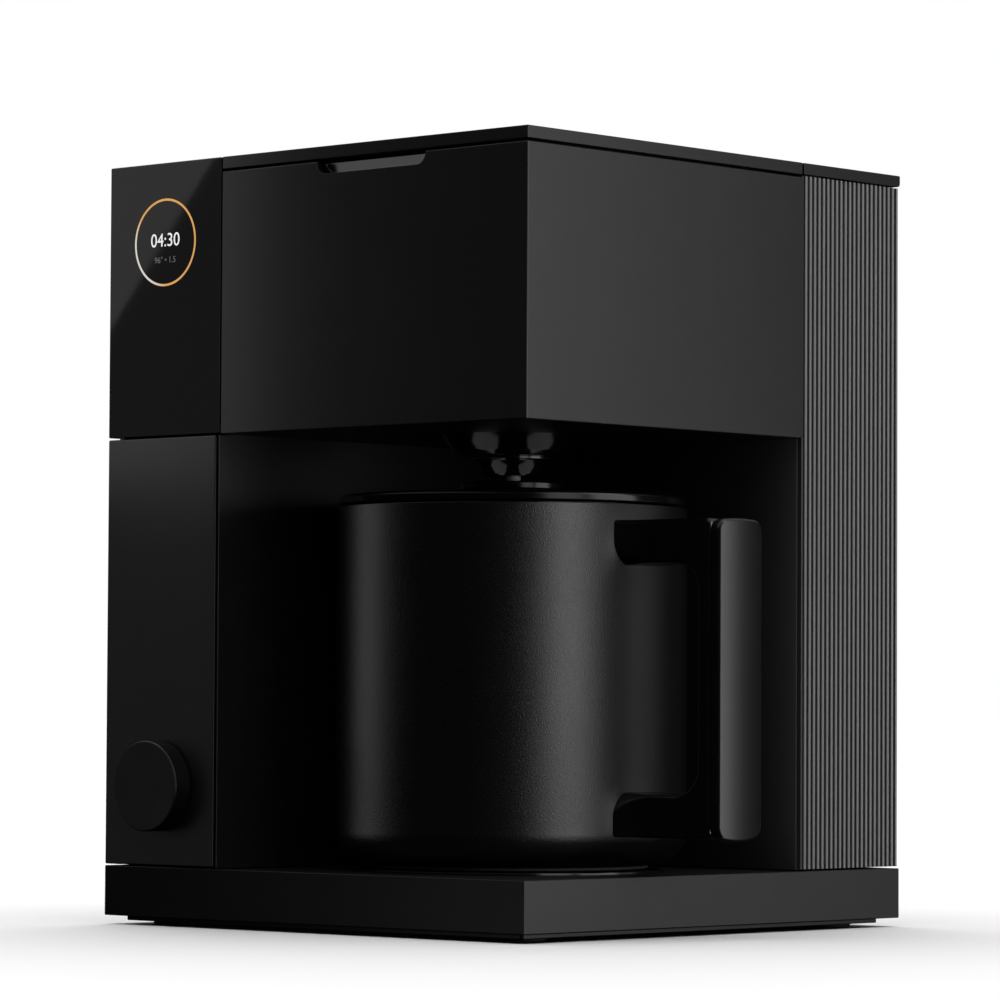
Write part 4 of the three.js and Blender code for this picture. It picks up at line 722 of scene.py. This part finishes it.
def foot(box):
    """Rubber pad with three round grooves underneath."""
    groove, slope, width, radius = 0.35, 0.3, 1.1, box.width / 2
    profile = [(0, 0)]
    for ring in (2.2, 4.4, 6.6):
        profile += [(ring, 0), (ring + slope, groove), (ring + width - slope, groove),
                    (ring + width, 0)]
    profile += [(8.2, 0), (radius, 0, 0.5), (radius, box.top, 0.3), (0, box.top)]
    return turned(profile, FINE_TURN, (box.x, box.y, 0))


def carafe_platform(box):
    radius, top = box.width / 2, box.top
    lip, dip = 1.6, 0.35
    return turned([
        (0, box.bottom), (radius, box.bottom), (radius, top, 0.5), (radius - lip, top, 0.2),
        (radius - lip - dip, top - dip, 0.2), (0, top - dip)])


# ---- column

def column_cover(box):
    """Left and back walls of the column, with a hole for the inlet and seven vent slots."""
    inlet = Box("power_inlet")
    wall_width, gap = 2.6, 0.3
    vents, lowest_vent, vent_pitch = 7, 197.5, 8
    vent_width, vent_height = 38, 3
    plan = [
        (box.left, box.front), (box.left + wall_width, box.front),
        (box.left + wall_width, box.back - wall_width), (box.right, box.back - wall_width),
        (box.right, box.back), (box.left, box.back)]
    outlines = [rectangle(inlet.left - gap, inlet.bottom - gap, inlet.right + gap,
                          inlet.top + gap, 2.5)]
    for i in range(vents):
        z = lowest_vent + vent_pitch * i
        half_width, half_height = vent_width / 2, vent_height / 2
        outlines.append(rectangle(inlet.x - half_width, z - half_height, inlet.x + half_width,
                                  z + half_height, half_height * 0.999, 8))
    holes = [prism(outline, box.back - 2 * wall_width, box.back + wall_width, "y")
             for outline in outlines]
    return soften(cut(prism(plan, box.bottom, box.top), *holes), 0.3, 2)


def display_glass(box):
    return soften(box.solid(), 0.5, 3)


def control_panel(box):
    dial = Box("knob")
    hole = cylinder((dial.x, dial.z), 4.2, box.front - 1, box.back + 1, "y")
    return cut(soften(box.solid(), 0.6, 3), hole)


READOUT_PROUD = 0.03  # of the glass
LETTER_DEPTH = 0.1


def readout_ring():
    """Lit ring on the display, a hair proud of the glass."""
    glass = Box("display_glass")
    radius, stroke, sunk = 17.15, 0.88, 0.2
    levels = (glass.front - READOUT_PROUD, glass.front + sunk)
    outer = circle((DISPLAY.x, DISPLAY.z), radius + stroke / 2, TURN)
    inner = circle((DISPLAY.x, DISPLAY.z), radius - stroke / 2, TURN)
    form = bmesh.new()
    loops = [[form.verts.new((x * MM, y * MM, z * MM)) for x, z in points]
             for points, y in ((outer, levels[0]), (inner, levels[0]),
                               (inner, levels[1]), (outer, levels[1]))]
    for first, second in zip(loops, loops[1:] + loops[:1]):
        bridge(form, first, second)
    amber = lit("readout_ring", (0.95, 0.50, 0.15), 0.62, (0.95, 0.90, 0.82))
    publish("readout_ring", form, amber, "machine")


def readout_text(name, text, size, drop, look):
    """Line of figures on the display, drop below its centre."""
    glass = Box("display_glass")
    curve = bpy.data.curves.new(name, "FONT")
    curve.body = text
    curve.size = size * MM
    curve.align_x = "CENTER"
    curve.extrude = LETTER_DEPTH * MM
    shape = bpy.data.objects.new(name, curve)
    bpy.context.scene.collection.objects.link(shape)
    spot = Vector((DISPLAY.x, glass.front - READOUT_PROUD + LETTER_DEPTH, DISPLAY.z - drop))
    upright = Matrix.Rotation(math.radians(90), 4, "X")
    shape.matrix_world = Matrix.Translation(spot * MM) @ upright
    bpy.context.view_layer.update()
    graph = bpy.context.evaluated_depsgraph_get()
    mesh = bpy.data.meshes.new_from_object(shape.evaluated_get(graph))
    mesh.transform(shape.matrix_world)
    bpy.data.objects.remove(shape)
    form = from_mesh(mesh)
    bmesh.ops.remove_doubles(form, verts=form.verts, dist=1e-7)
    publish(name, form, look, "machine")


def readouts():
    readout_ring()
    white = lit("readout_white", (0.92, 0.92, 0.92), 0.85)
    grey = lit("readout_grey", (0.30, 0.30, 0.30), 0.28)
    readout_text("readout_time", "04:30", 7.6, 1.6, white)
    readout_text("readout_heat", "96° • 1.5", 3.5, 8.2, grey)


def knob(box):
    """Dial with a slightly dished face, hollow behind, with a boss for the shaft."""
    radius, depth = box.width / 2, box.depth
    rim, face, dish = 2, 2.2, 0.25
    boss, bore = 6, 3.1
    return turned([
        (0, dish), (radius * 0.5, dish * 0.8, 40), (radius - 1.2, 0, 0.15), (radius - 0.45, 0, 0.15),
        (radius, 0.5, 0.2), (radius, depth, 0.25), (radius - rim, depth, 0.25),
        (radius - rim, face), (boss, face), (boss, depth), (bore, depth), (bore, face), (0, face)],
        TURN, (box.x, box.front, box.z), "y")


def encoder_shaft(box):
    radius, round_end = box.width / 2, 0.4
    return turned([
        (0, 0), (radius, 0, round_end), (radius, box.depth, round_end), (0, box.depth)],
        FINE_TURN, (box.x, box.front, box.z), "y")


def power_inlet(box):
    """Recessed inlet with three contacts."""
    skin, contact_end = 1.6, 4
    half_width, half_height = 1, 2
    body = prism(rectangle(box.left, box.bottom, box.right, box.top, 2.2), box.front, box.back, "y")
    room = prism(rectangle(box.left + skin, box.bottom + skin, box.right - skin, box.top - skin,
                           1.2), box.front + skin, box.back + 1, "y")
    contacts = []
    for aside, rise in ((-7, 1.5), (7, 1.5), (0, 4.5)):
        x, z = box.x + aside, box.z + rise
        contact = cuboid(x - half_width, box.front + 1, z - half_height,
                         x + half_width, box.back - contact_end, z + half_height)
        contacts.append(soften(contact, 0.35, 2))
    return join(soften(cut(body, room), 0.25, 2), *contacts)


# ---- brew chamber

CHAMBER_WALL = 3
NOTCH_WIDTH, NOTCH_CORNER, NOTCH_DEPTH = 58, 4.6, 5
SCOOP_DEPTH = 2.2  # of the hollow, behind the housing's wall
WELL_RADIUS = 64
PORT_HEIGHT = 275


def notch_outline():
    low, high, half = HOUSING.top - NOTCH_DEPTH, HOUSING.top + 2, NOTCH_WIDTH / 2
    return fillet([(BREW.x - half, low, NOTCH_CORNER), (BREW.x + half, low, NOTCH_CORNER),
                   (BREW.x + half, high), (BREW.x - half, high)], steps=10)


def is_notch_rim(edge):
    """Whether an edge of the housing borders the finger notch."""
    behind, below, half = HOUSING.front + CHAMBER_WALL + 0.5, NOTCH_DEPTH + 0.1, NOTCH_WIDTH / 2
    places = [vertex.co / MM for vertex in edge.verts]
    return is_sharp(edge, 40) and all(
        place.y < behind and place.z > HOUSING.top - below and abs(place.x - BREW.x) < half + 1
        for place in places)


def chamber_housing(box):
    """Square shell, open at the top, with the outlet's seat, the water port and the notch."""
    thick = CHAMBER_WALL
    port = Box("water_port")
    seat_radius, port_radius = 29.3, 3.2
    inner = cuboid(box.left + thick, box.front + thick, box.bottom + thick,
                   box.right - thick, box.back - thick, box.top + 5)
    outlet = cylinder(BREW, seat_radius, box.bottom - 1, box.bottom + thick + 1, steps=TURN)
    port_hole = cylinder((port.y, PORT_HEIGHT), port_radius, box.left - 1, box.left + thick + 1, "x")
    notch = prism(notch_outline(), box.front - 1, box.front + thick + 1, "y")
    form = cut(soften(box.solid(), 0.6), inner, outlet, port_hole, notch)
    bevel(form, [edge for edge in form.edges if is_notch_rim(edge)], 0.6, 4)
    return form


def finger_scoop(box):
    """Block with a round-cornered hollow whose steep back leads the fingertips up to the lid."""
    floor, half = HOUSING.top - NOTCH_DEPTH - 0.3, NOTCH_WIDTH / 2
    hollow = prism(rectangle(box.x - half, floor, box.x + half, box.top + 9, NOTCH_CORNER, 10),
                   box.front - 9, box.front + SCOOP_DEPTH, "y")
    form = cut(box.solid(), soften(hollow, 1.6, 6, 50))
    return soften(form, 0.15, 2, 50)


def brew_well(box):
    skin, mouth = 2, 20.5
    outer = WELL_RADIUS + skin
    return turned([
        (mouth, box.bottom), (outer, box.bottom, 3), (outer, box.top, 0.3),
        (WELL_RADIUS, box.top, 0.3), (WELL_RADIUS, box.bottom + skin, 2),
        (mouth, box.bottom + skin)])


def chamber_deck(box):
    port = Box("water_port_seal")
    plate = prism(rectangle(box.left, box.front, box.right, box.back, 3), box.bottom, box.top)
    mouth = cylinder(BREW, WELL_RADIUS, box.bottom - 1, box.top + 1, steps=TURN)
    port_hole = cylinder((port.x, port.y), 6.6, box.bottom - 1, box.top + 1)
    return soften(cut(plate, mouth, port_hole), 0.3, 2, 50)


def spots_round(count, radius):
    """Places spread evenly on a circle round the brew axis."""
    angles = [2 * math.pi * i / count for i in range(count)]
    return [(BREW.x + radius * math.cos(angle), BREW.y + radius * math.sin(angle))
            for angle in angles]


def brew_basket(box):
    """Filter cup on a short foot, with drain holes in its floor and ribs under the paper."""
    floor, top = 202.9, box.top
    skin, low_radius, high_radius, rim = 2, 57, 61.5, box.width / 2
    cup = turned([
        (0, floor), (11, floor), (11, box.bottom, 0.3), (14, box.bottom, 0.5), (14, floor, 1),
        (low_radius, floor, 3), (high_radius, top - 2), (rim, top - 2, 0.5), (rim, top, 0.8),
        (high_radius - skin, top, 0.8), (low_radius - skin, floor + skin, 3), (0, floor + skin)])
    holes = [cylinder(BREW, 4, floor - 1, floor + 2 * skin)]
    for spot in spots_round(6, 7.6):
        holes.append(cylinder(spot, 2, floor - 1, floor + 2 * skin, steps=24))
    ribs = []
    rib_count = 24
    for i in range(rib_count):
        rib = cuboid(18, -0.6, floor + skin - 0.5, low_radius - skin + 0.3, 0.6, floor + skin + 1.2)
        ribs.append(set_down(soften(rib, 0.3, 2), BREW, 360 * i / rib_count))
    return join(cut(cup, *holes), *ribs)


def outlet_cone(box):
    bottom, shoulder, flange = box.bottom, 195.5, box.top
    seat = HOUSING.bottom + CHAMBER_WALL + 0.3
    outer, inner = 28.7, 20
    return turned([
        (inner, flange), (box.width / 2, flange, 0.4), (box.width / 2, seat, 0.3), (outer, seat),
        (outer, shoulder, 0.35), (23.2, bottom + 2, 4), (20.6, bottom, 2.2), (17, bottom, 0.3),
        (17, bottom + 4), (inner, shoulder)], arc_steps=8)


def drip_valve_body(box):
    bore, nose, neck, lip = 4.2, 10.4, 10.6, box.width / 2
    lip_low, lip_high = 185.6, 186.9
    return turned([
        (bore, box.bottom, 0.3), (nose, box.bottom, 0.8), (11.2, 179.8, 1.0), (14.4, 185, 0.5),
        (lip, lip_low, 0.3), (lip, lip_high, 0.3), (neck, lip_high), (neck, box.top, 0.3),
        (bore, box.top, 0.3)])


def drip_valve_plunger(box):
    stem, head = 3.2, box.width / 2
    head_low, head_high = 194.2, 196
    return turned([
        (0, box.bottom), (stem, box.bottom, 1.2), (stem, head_low, 0.4), (head, head_low, 0.4),
        (head, head_high, 0.4), (stem, head_high, 0.4), (stem, box.top, 0.8), (0, box.top)],
        FINE_TURN)


def water_port_seal(box):
    bore, outer = 2.6, box.width / 2
    return turned([
        (bore, box.bottom, 0.2), (outer - 1, box.bottom, 0.3), (outer, box.top, 0.4),
        (bore, box.top, 0.3)], FINE_TURN, (box.x, box.y, 0))


def hinge_pin(box):
    radius, half = box.height / 2, box.width / 2
    return turned([(0, -half), (radius, -half, 0.2), (radius, half, 0.2), (0, half)],
                  32, (box.x, box.y, box.z), "x")


# ---- brew lid

LINER_SKIRT_TOP = 297


def channel_slot(low, high):
    """Room for the water channel, from the port to the middle of the brew basket."""
    port = Box("water_port_seal")
    half_width = 6
    start = Vector((port.x, port.y, 0))
    along = BREW - start
    slot = cuboid(-along.length / 2, -half_width, low, along.length / 2, half_width, high)
    return set_down(slot, (start + BREW) / 2, math.degrees(math.atan2(along.y, along.x)))


def lid_liner(box):
    inner, outer = 60, 62.5
    plate = prism(rectangle(box.left, box.front, box.right, box.back, 8, 8), LINER_SKIRT_TOP,
                  box.top)
    skirt = turned([
        (inner, box.bottom, 0.5), (outer, box.bottom, 0.5), (outer, LINER_SKIRT_TOP + 1),
        (inner, LINER_SKIRT_TOP + 1)])
    skirt = cut(skirt, channel_slot(box.bottom - 1, LINER_SKIRT_TOP))
    return join(soften(plate, 0.3, 2), skirt)


def lid_gasket(box):
    inner, outer = 62.8, box.width / 2
    ring = turned([
        (inner, box.bottom, 0.3), (outer, box.bottom, 0.5), (outer - 0.5, box.bottom + 1.6, 0.4),
        (outer - 1, box.top, 0.4), (inner, box.top, 0.3)])
    return cut(ring, channel_slot(box.bottom + 1.1, box.top + 1))


def shower_head(box):
    """Shallow dish with five rings of holes."""
    plate, radius, inlet = 0.9, box.width / 2, 3.5
    rim = radius - 2
    disc = turned([
        (inlet, box.top), (inlet, box.top - plate), (rim, box.top - plate),
        (rim, box.bottom + plate), (0, box.bottom + plate), (0, box.bottom),
        (radius, box.bottom, 0.8), (radius, box.top, 0.3)])
    holes = bmesh.new()
    for ring, count in ((8, 6), (16, 12), (24, 18), (32, 24), (39, 30)):
        for spot in spots_round(count, ring):
            mesh = to_mesh(cylinder(spot, 0.8, box.bottom - 1, box.bottom + 1.5, steps=12), "hole")
            holes.from_mesh(mesh)
            bpy.data.meshes.remove(mesh)
    return cut(disc, holes)


# ---- carafe

def carafe_body(box):
    radius, corner, skin = box.width / 2, 13, 1
    return turned([
        (0, box.bottom), (radius, box.bottom, corner), (radius, box.top, 0.35),
        (radius - skin, box.top, 0.3), (radius - skin, box.bottom + skin, corner - skin),
        (0, box.bottom + skin)], WIDE_TURN, arc_steps=16)


def carafe_liner(box):
    flange, radius, skin, rim = box.width / 2, 64.5, 0.8, CARAFE.top
    return turned([
        (0, box.bottom), (radius, box.bottom, 10), (radius, rim - 6, 3), (flange, rim - 3, 1),
        (flange, rim, 0.3), (radius - skin, rim, 1.2), (radius - skin, box.bottom + skin, 9.2),
        (0, box.bottom + skin)], arc_steps=10)


def carafe_base(box):
    """Foot ring with four grooves underneath."""
    radius, low = box.width / 2, box.bottom
    groove, width = 0.4, 1.8
    profile = [(0, low)]
    for ring in (30, 36, 42, 48):
        profile += [(ring, low), (ring + groove, low + groove),
                    (ring + width - groove, low + groove), (ring + width, low)]
    profile += [(52, low), (radius, low, 0.6), (radius, box.top, 0.2), (0, box.top)]
    return turned(profile)


def carafe_lid(box):
    """Screw lid with a domed rim, a hub under the drip valve, a plug and a pour channel."""
    radius, top, underside, deck, inner = box.width / 2, box.top, CARAFE.top + 1, 171, 164
    hub, hub_foot, plug = 20.6, 24, 62
    skin = 2.5
    form = turned([
        (8, top - 5), (11, top, 0.6), (hub, top, 0.7), (hub, top - 2.6, 0.5),
        (hub_foot, deck, 1.5), (radius - 5, deck, 8), (radius, deck - 0.2, 1.7),
        (radius, underside, 0.35), (plug, underside, 0.6), (plug, box.bottom, 1),
        (plug - skin, box.bottom, 1), (plug - skin, deck - skin, 1.5), (12, deck - skin, 1),
        (12, inner, 0.5), (8, inner, 0.5)], WIDE_TURN, arc_steps=7)
    channel = cuboid(-80, -9, underside - 9, -50, 9, underside + 1.6)
    return cut(form, set_down(channel, BREW, -40))


def carafe_lid_seal(box):
    inner, outer, lip = 62.3, 63.2, 0.6
    return turned([
        (inner, box.bottom, 0.2), (outer, box.bottom + lip, 0.3), (outer, box.top - lip, 0.3),
        (inner, box.top, 0.2)])


def mixing_tube(box):
    outer, bore, collar = 4.5, 3.5, box.width / 2
    return turned([
        (bore, box.bottom, 0.3), (outer, box.bottom, 0.3), (outer, box.top - 3, 1),
        (collar, box.top - 1, 0.3), (collar, box.top, 0.3), (bore, box.top, 0.4)], FINE_TURN)


# ---- handle

HANDLE_ROOT = 66  # distance from the brew axis where a flared root starts
SEAM = 0.03  # that one solid overlaps or clears the next, so that their faces never coincide


def flared_root(start, length, outer, inner, narrow, wide):
    """End of a handle arm, which swells towards the carafe. It spans the heights from its outer
    side to its inner one, and narrow and wide are half its widths."""
    turn = 1 if inner > outer else -1
    rings = []
    count, hidden = 14, 4
    for i in range(-hidden, count + 1):
        swell = (1 - max(i, 0) / count) ** 2
        half = narrow + (wide - narrow) * swell
        tall = 1 + 0.35 * swell  # the inner corners are ellipses, taller than wide
        edge = (inner + turn * (swell - SEAM)) / tall
        base = (outer + turn * SEAM) / tall
        soft, firm = 1.6 + 7.4 * swell, 1.6 / tall
        ring = fillet([(BREW.y - half, base, firm), (BREW.y + half, base, firm),
                       (BREW.y + half, edge, soft), (BREW.y - half, edge, soft)], steps=8)
        x = start + length * i / count
        rings.append([(x, point.x, point.y * tall) for point in ring])
    return loft(rings)


def handle_frame(box):
    """Loop of two arms and a bar, whose arms swell where they meet the carafe."""
    cover = Box("handle_cover")
    arm, lower_arm, root_length = 16.7, 16.6, 17
    half, root_half = cover.depth / 2, box.depth / 2 + 1.6
    body_side, inner, seam = BREW.x + 63.7, BREW.x + 106, box.right
    low, high = box.bottom - 1.8, box.top + 0.7
    side = prism(fillet([(body_side, low), (seam, low, 2.6), (seam, high, 2.6),
                         (body_side, high)], steps=8), BREW.y - half, BREW.y + half, "y")
    opening = prism(rectangle(body_side - 26, low + lower_arm, inner, high - arm, 11, 12),
                    BREW.y - 2 * half, BREW.y + 2 * half, "y")
    loop = soften(cut(side, opening), 1.6, 5, 50)
    roots = [flared_root(BREW.x + HANDLE_ROOT, root_length, outer, outer + thick, half - SEAM,
                         root_half)
             for outer, thick in ((high, -arm), (low, lower_arm))]
    room = cylinder(BREW, CARAFE.width / 2 + 0.05, low - 5, high + 5, steps=WIDE_TURN)
    return cut(join(loop, *roots), room)


def handle_cover(box):
    """Outer grip: bowed ends with rounded corners, and a crowned face."""
    crown, corner = 0.5, 4.2
    upper_bow, lower_bow = 0.8, 2.0
    bottom, top, back = box.bottom - 2.9, box.top + 0.7, box.back + 2
    half = (back - box.front) / 2
    close = 0.001
    form = prism(rectangle(box.front, bottom, back, top, corner, 8), box.left, box.right, "x")
    outer = [edge for edge in form.edges
             if all(vertex.co.x / MM > box.right - close for vertex in edge.verts)]
    bevel(form, outer, 1.5, 6, clamp=False)
    inner = [edge for edge in form.edges if is_sharp(edge, 30)
             and all(vertex.co.x / MM < box.left + close for vertex in edge.verts)]
    bevel(form, inner, 0.3, 2, clamp=False)
    slices = ((Vector((0, 1, 0)), box.front, 2 * half, 22), (UP, bottom, top - bottom, 6))
    for normal, start, size, count in slices:
        for i in range(1, count):
            spot = normal * (start + size * i / count) * MM
            bmesh.ops.bisect_plane(form, geom=form.verts[:] + form.edges[:] + form.faces[:],
                                   dist=1e-6, plane_co=spot, plane_no=normal)
    for vertex in form.verts:
        place = vertex.co / MM
        share = (place.x - box.left) / box.width
        across = (place.y - box.front) / half - 1
        rise = 2 * (place.z - bottom) / (top - bottom) - 1
        bow = upper_bow if rise > 0 else lower_bow
        vertex.co.x -= crown * across ** 2 * share * MM
        vertex.co.z -= bow * across ** 2 * rise * MM
    return form


# ---- water tank

RIB_PITCH = 2.8
RIB_DEPTH = 0.8
RIB_TOP, RIB_SLOPE = 1.35, 0.12
TANK_TOP = 299.9
TANK_WALL = 2.5
TANK_FLOOR = 40


def ribs(start, end):
    """Corners of a reeded wall as (distance along it, depth from its face, corner radius). The
    last rib is left open, to end at the corner of the walls."""
    count = int((end - start) / RIB_PITCH + 0.001)
    corners = []
    for i in range(count):
        at = start + i * RIB_PITCH
        corners += [(at, RIB_DEPTH, 0.1), (at + RIB_SLOPE, 0, 0.3),
                    (at + RIB_SLOPE + RIB_TOP, 0, 0.3),
                    (at + 2 * RIB_SLOPE + RIB_TOP, RIB_DEPTH, 0.1)]
    last = start + count * RIB_PITCH
    return corners + [(last, RIB_DEPTH, 0.1), (last + RIB_SLOPE, 0, 0.05)]


def tank_shell(box):
    """Ribbed wall, smooth where it meets the chamber, with a reservoir above and a dock room below."""
    valve = Box("tank_valve")
    left, right, back = box.left, box.right - 0.1, Box("tank_lid").back - 0.6
    front, lip_front, lip_left = box.front + 2.9, box.front, box.right - 2.6
    side = [(right - inset, y, r) for y, inset, r in ribs(lip_front + 0.9, back)]
    rear = [(x, back - inset, r) for x, inset, r in ribs(left + 2.5, right - 1.3)]
    plan = fillet([(left, front), (lip_left, front), (lip_left, lip_front),
                   (right - RIB_DEPTH, lip_front), *side,
                   (right, back, 0.25), *reversed(rear), (left, back - RIB_DEPTH)], steps=2)
    inside = rectangle(left + TANK_WALL, front + TANK_WALL, right - TANK_WALL - RIB_DEPTH,
                       back - TANK_WALL - RIB_DEPTH, 2)
    reservoir = prism(inside, TANK_FLOOR + TANK_WALL, TANK_TOP + 5)
    dock_room = prism(inside, box.bottom - 1, TANK_FLOOR)
    hose_notch = cuboid(left - 1, valve.y - 7, box.bottom - 1, left + TANK_WALL + 1, valve.y + 7, 35)
    return cut(prism(plan, box.bottom, TANK_TOP), reservoir, dock_room, hose_notch)


def tank_body(box):
    """Tank shell with the valve's nozzle, the float's post and two hinge knuckles."""
    lid, valve, buoy = Box("tank_lid"), Box("tank_valve"), Box("level_float")
    cap_low, cap_high, cap_radius = 81, 83.5, 5
    nozzle = cylinder((valve.x, valve.y), 6.6, 34.5, TANK_FLOOR + 1)
    valve_hole = cylinder((valve.x, valve.y), 5, 30, TANK_FLOOR + TANK_WALL + 1)
    post = cylinder((buoy.x, buoy.y), 2.8, TANK_FLOOR + 1, cap_low + 1, steps=32)
    cap = turned([(0, cap_low), (cap_radius, cap_low, 0.4), (cap_radius, cap_high, 0.8),
                  (0, cap_high)], 48, (buoy.x, buoy.y, 0))
    pivot = (lid.back - 2.3, lid.top - 2.3)
    half = 5
    knuckles, bores = [], []
    for x in (Box("hinge_pin_left").x, Box("hinge_pin_right").x):
        knuckles.append(cuboid(x - half, pivot[0] - 1.7, TANK_TOP - 6, x + half, pivot[0] + 0.9,
                               pivot[1] - 0.6))
        knuckles.append(cylinder(pivot, 2, x - half, x + half, "x", 40))
        bores.append(cylinder(pivot, 1.3, x - half - 1, x + half + 1, "x", 32))
    form = join(tank_shell(box), nozzle, post, cap, *knuckles)
    return cut(form, valve_hole, *bores)


def tank_valve(box):
    stem, radius, disc = 2.6, box.width / 2, box.top - 3
    return turned([
        (0, box.bottom), (stem, box.bottom, 0.5), (stem, disc, 0.3), (radius, disc, 0.3),
        (radius, disc + 1.8, 0.4), (0, box.top)], FINE_TURN, (box.x, box.y, 0))


def level_float(box):
    bore, radius = 3.4, box.width / 2
    return turned([
        (bore, box.bottom, 0.5), (radius, box.bottom, 1.5), (radius, box.top, 1.5),
        (bore, box.top, 0.5)], FINE_TURN, (box.x, box.y, 0))


# ---- everything else, from its CAD solid

EDGE_ROUNDING = {
    "column_top": 0.35, "column_frame": 0.3, "bay_back_wall": 0.4, "lid_panel": 0.3,
    "tank_lid": 0.3, "main_board": 0.15, "display_module": 0.2, "encoder_body": 0.3,
    "pump_motor": 0.6, "pump_head": 0.5, "pump_bracket": 0.25, "flow_heater": 0.4,
    "heater_bracket": 0.3, "tank_hose": 0, "pump_hose": 0, "riser_hose": 0, "water_port": 0.2,
    "hinge_bracket_left": 0.15, "hinge_bracket_right": 0.15, "drip_valve_spring": 0,
    "lid_water_channel": 0.25, "tank_dock": 0.2,
}


def softened_cad(node, width):
    """The CAD node's own solid, with its flat faces made whole again and its edges rounded."""
    form = bmesh.new()
    form.from_mesh(frame["nodes"][node].data)
    tidy(form)
    if width:
        soften(form, width, 2, 40)
    return form


# ---- build

OWN_FINISH = {"carafe_lid": "lid_gloss"}
SMOOTH_UP_TO = {"handle_cover": 50, "tank_body": 40, **dict.fromkeys(EDGE_ROUNDING, 40)}


def build(*makers):
    """Pieces from functions that are named after the nodes they stand for."""
    for make in makers:
        replace(make.__name__, make(Box(make.__name__)))


bpy.context.scene.view_settings.view_transform = "Standard"
make_camera()
make_world()
make_floor()
build(base_slab, base_plinth)
for node in FEET:
    replace(node, foot(Box(node)))
build(carafe_platform, column_cover, display_glass, control_panel)
readouts()
build(knob, encoder_shaft, power_inlet)
build(chamber_housing, finger_scoop, brew_well, chamber_deck, brew_basket)
build(outlet_cone, drip_valve_body, drip_valve_plunger, water_port_seal)
for node in ("hinge_pin_left", "hinge_pin_right"):
    replace(node, hinge_pin(Box(node)))
build(lid_liner, lid_gasket, shower_head)
build(carafe_body, carafe_liner, carafe_base, carafe_lid, carafe_lid_seal, mixing_tube)
build(handle_frame, handle_cover, tank_body, tank_valve, level_float)
for node, width in EDGE_ROUNDING.items():
    replace(node, softened_cad(node, width))
make_lights()
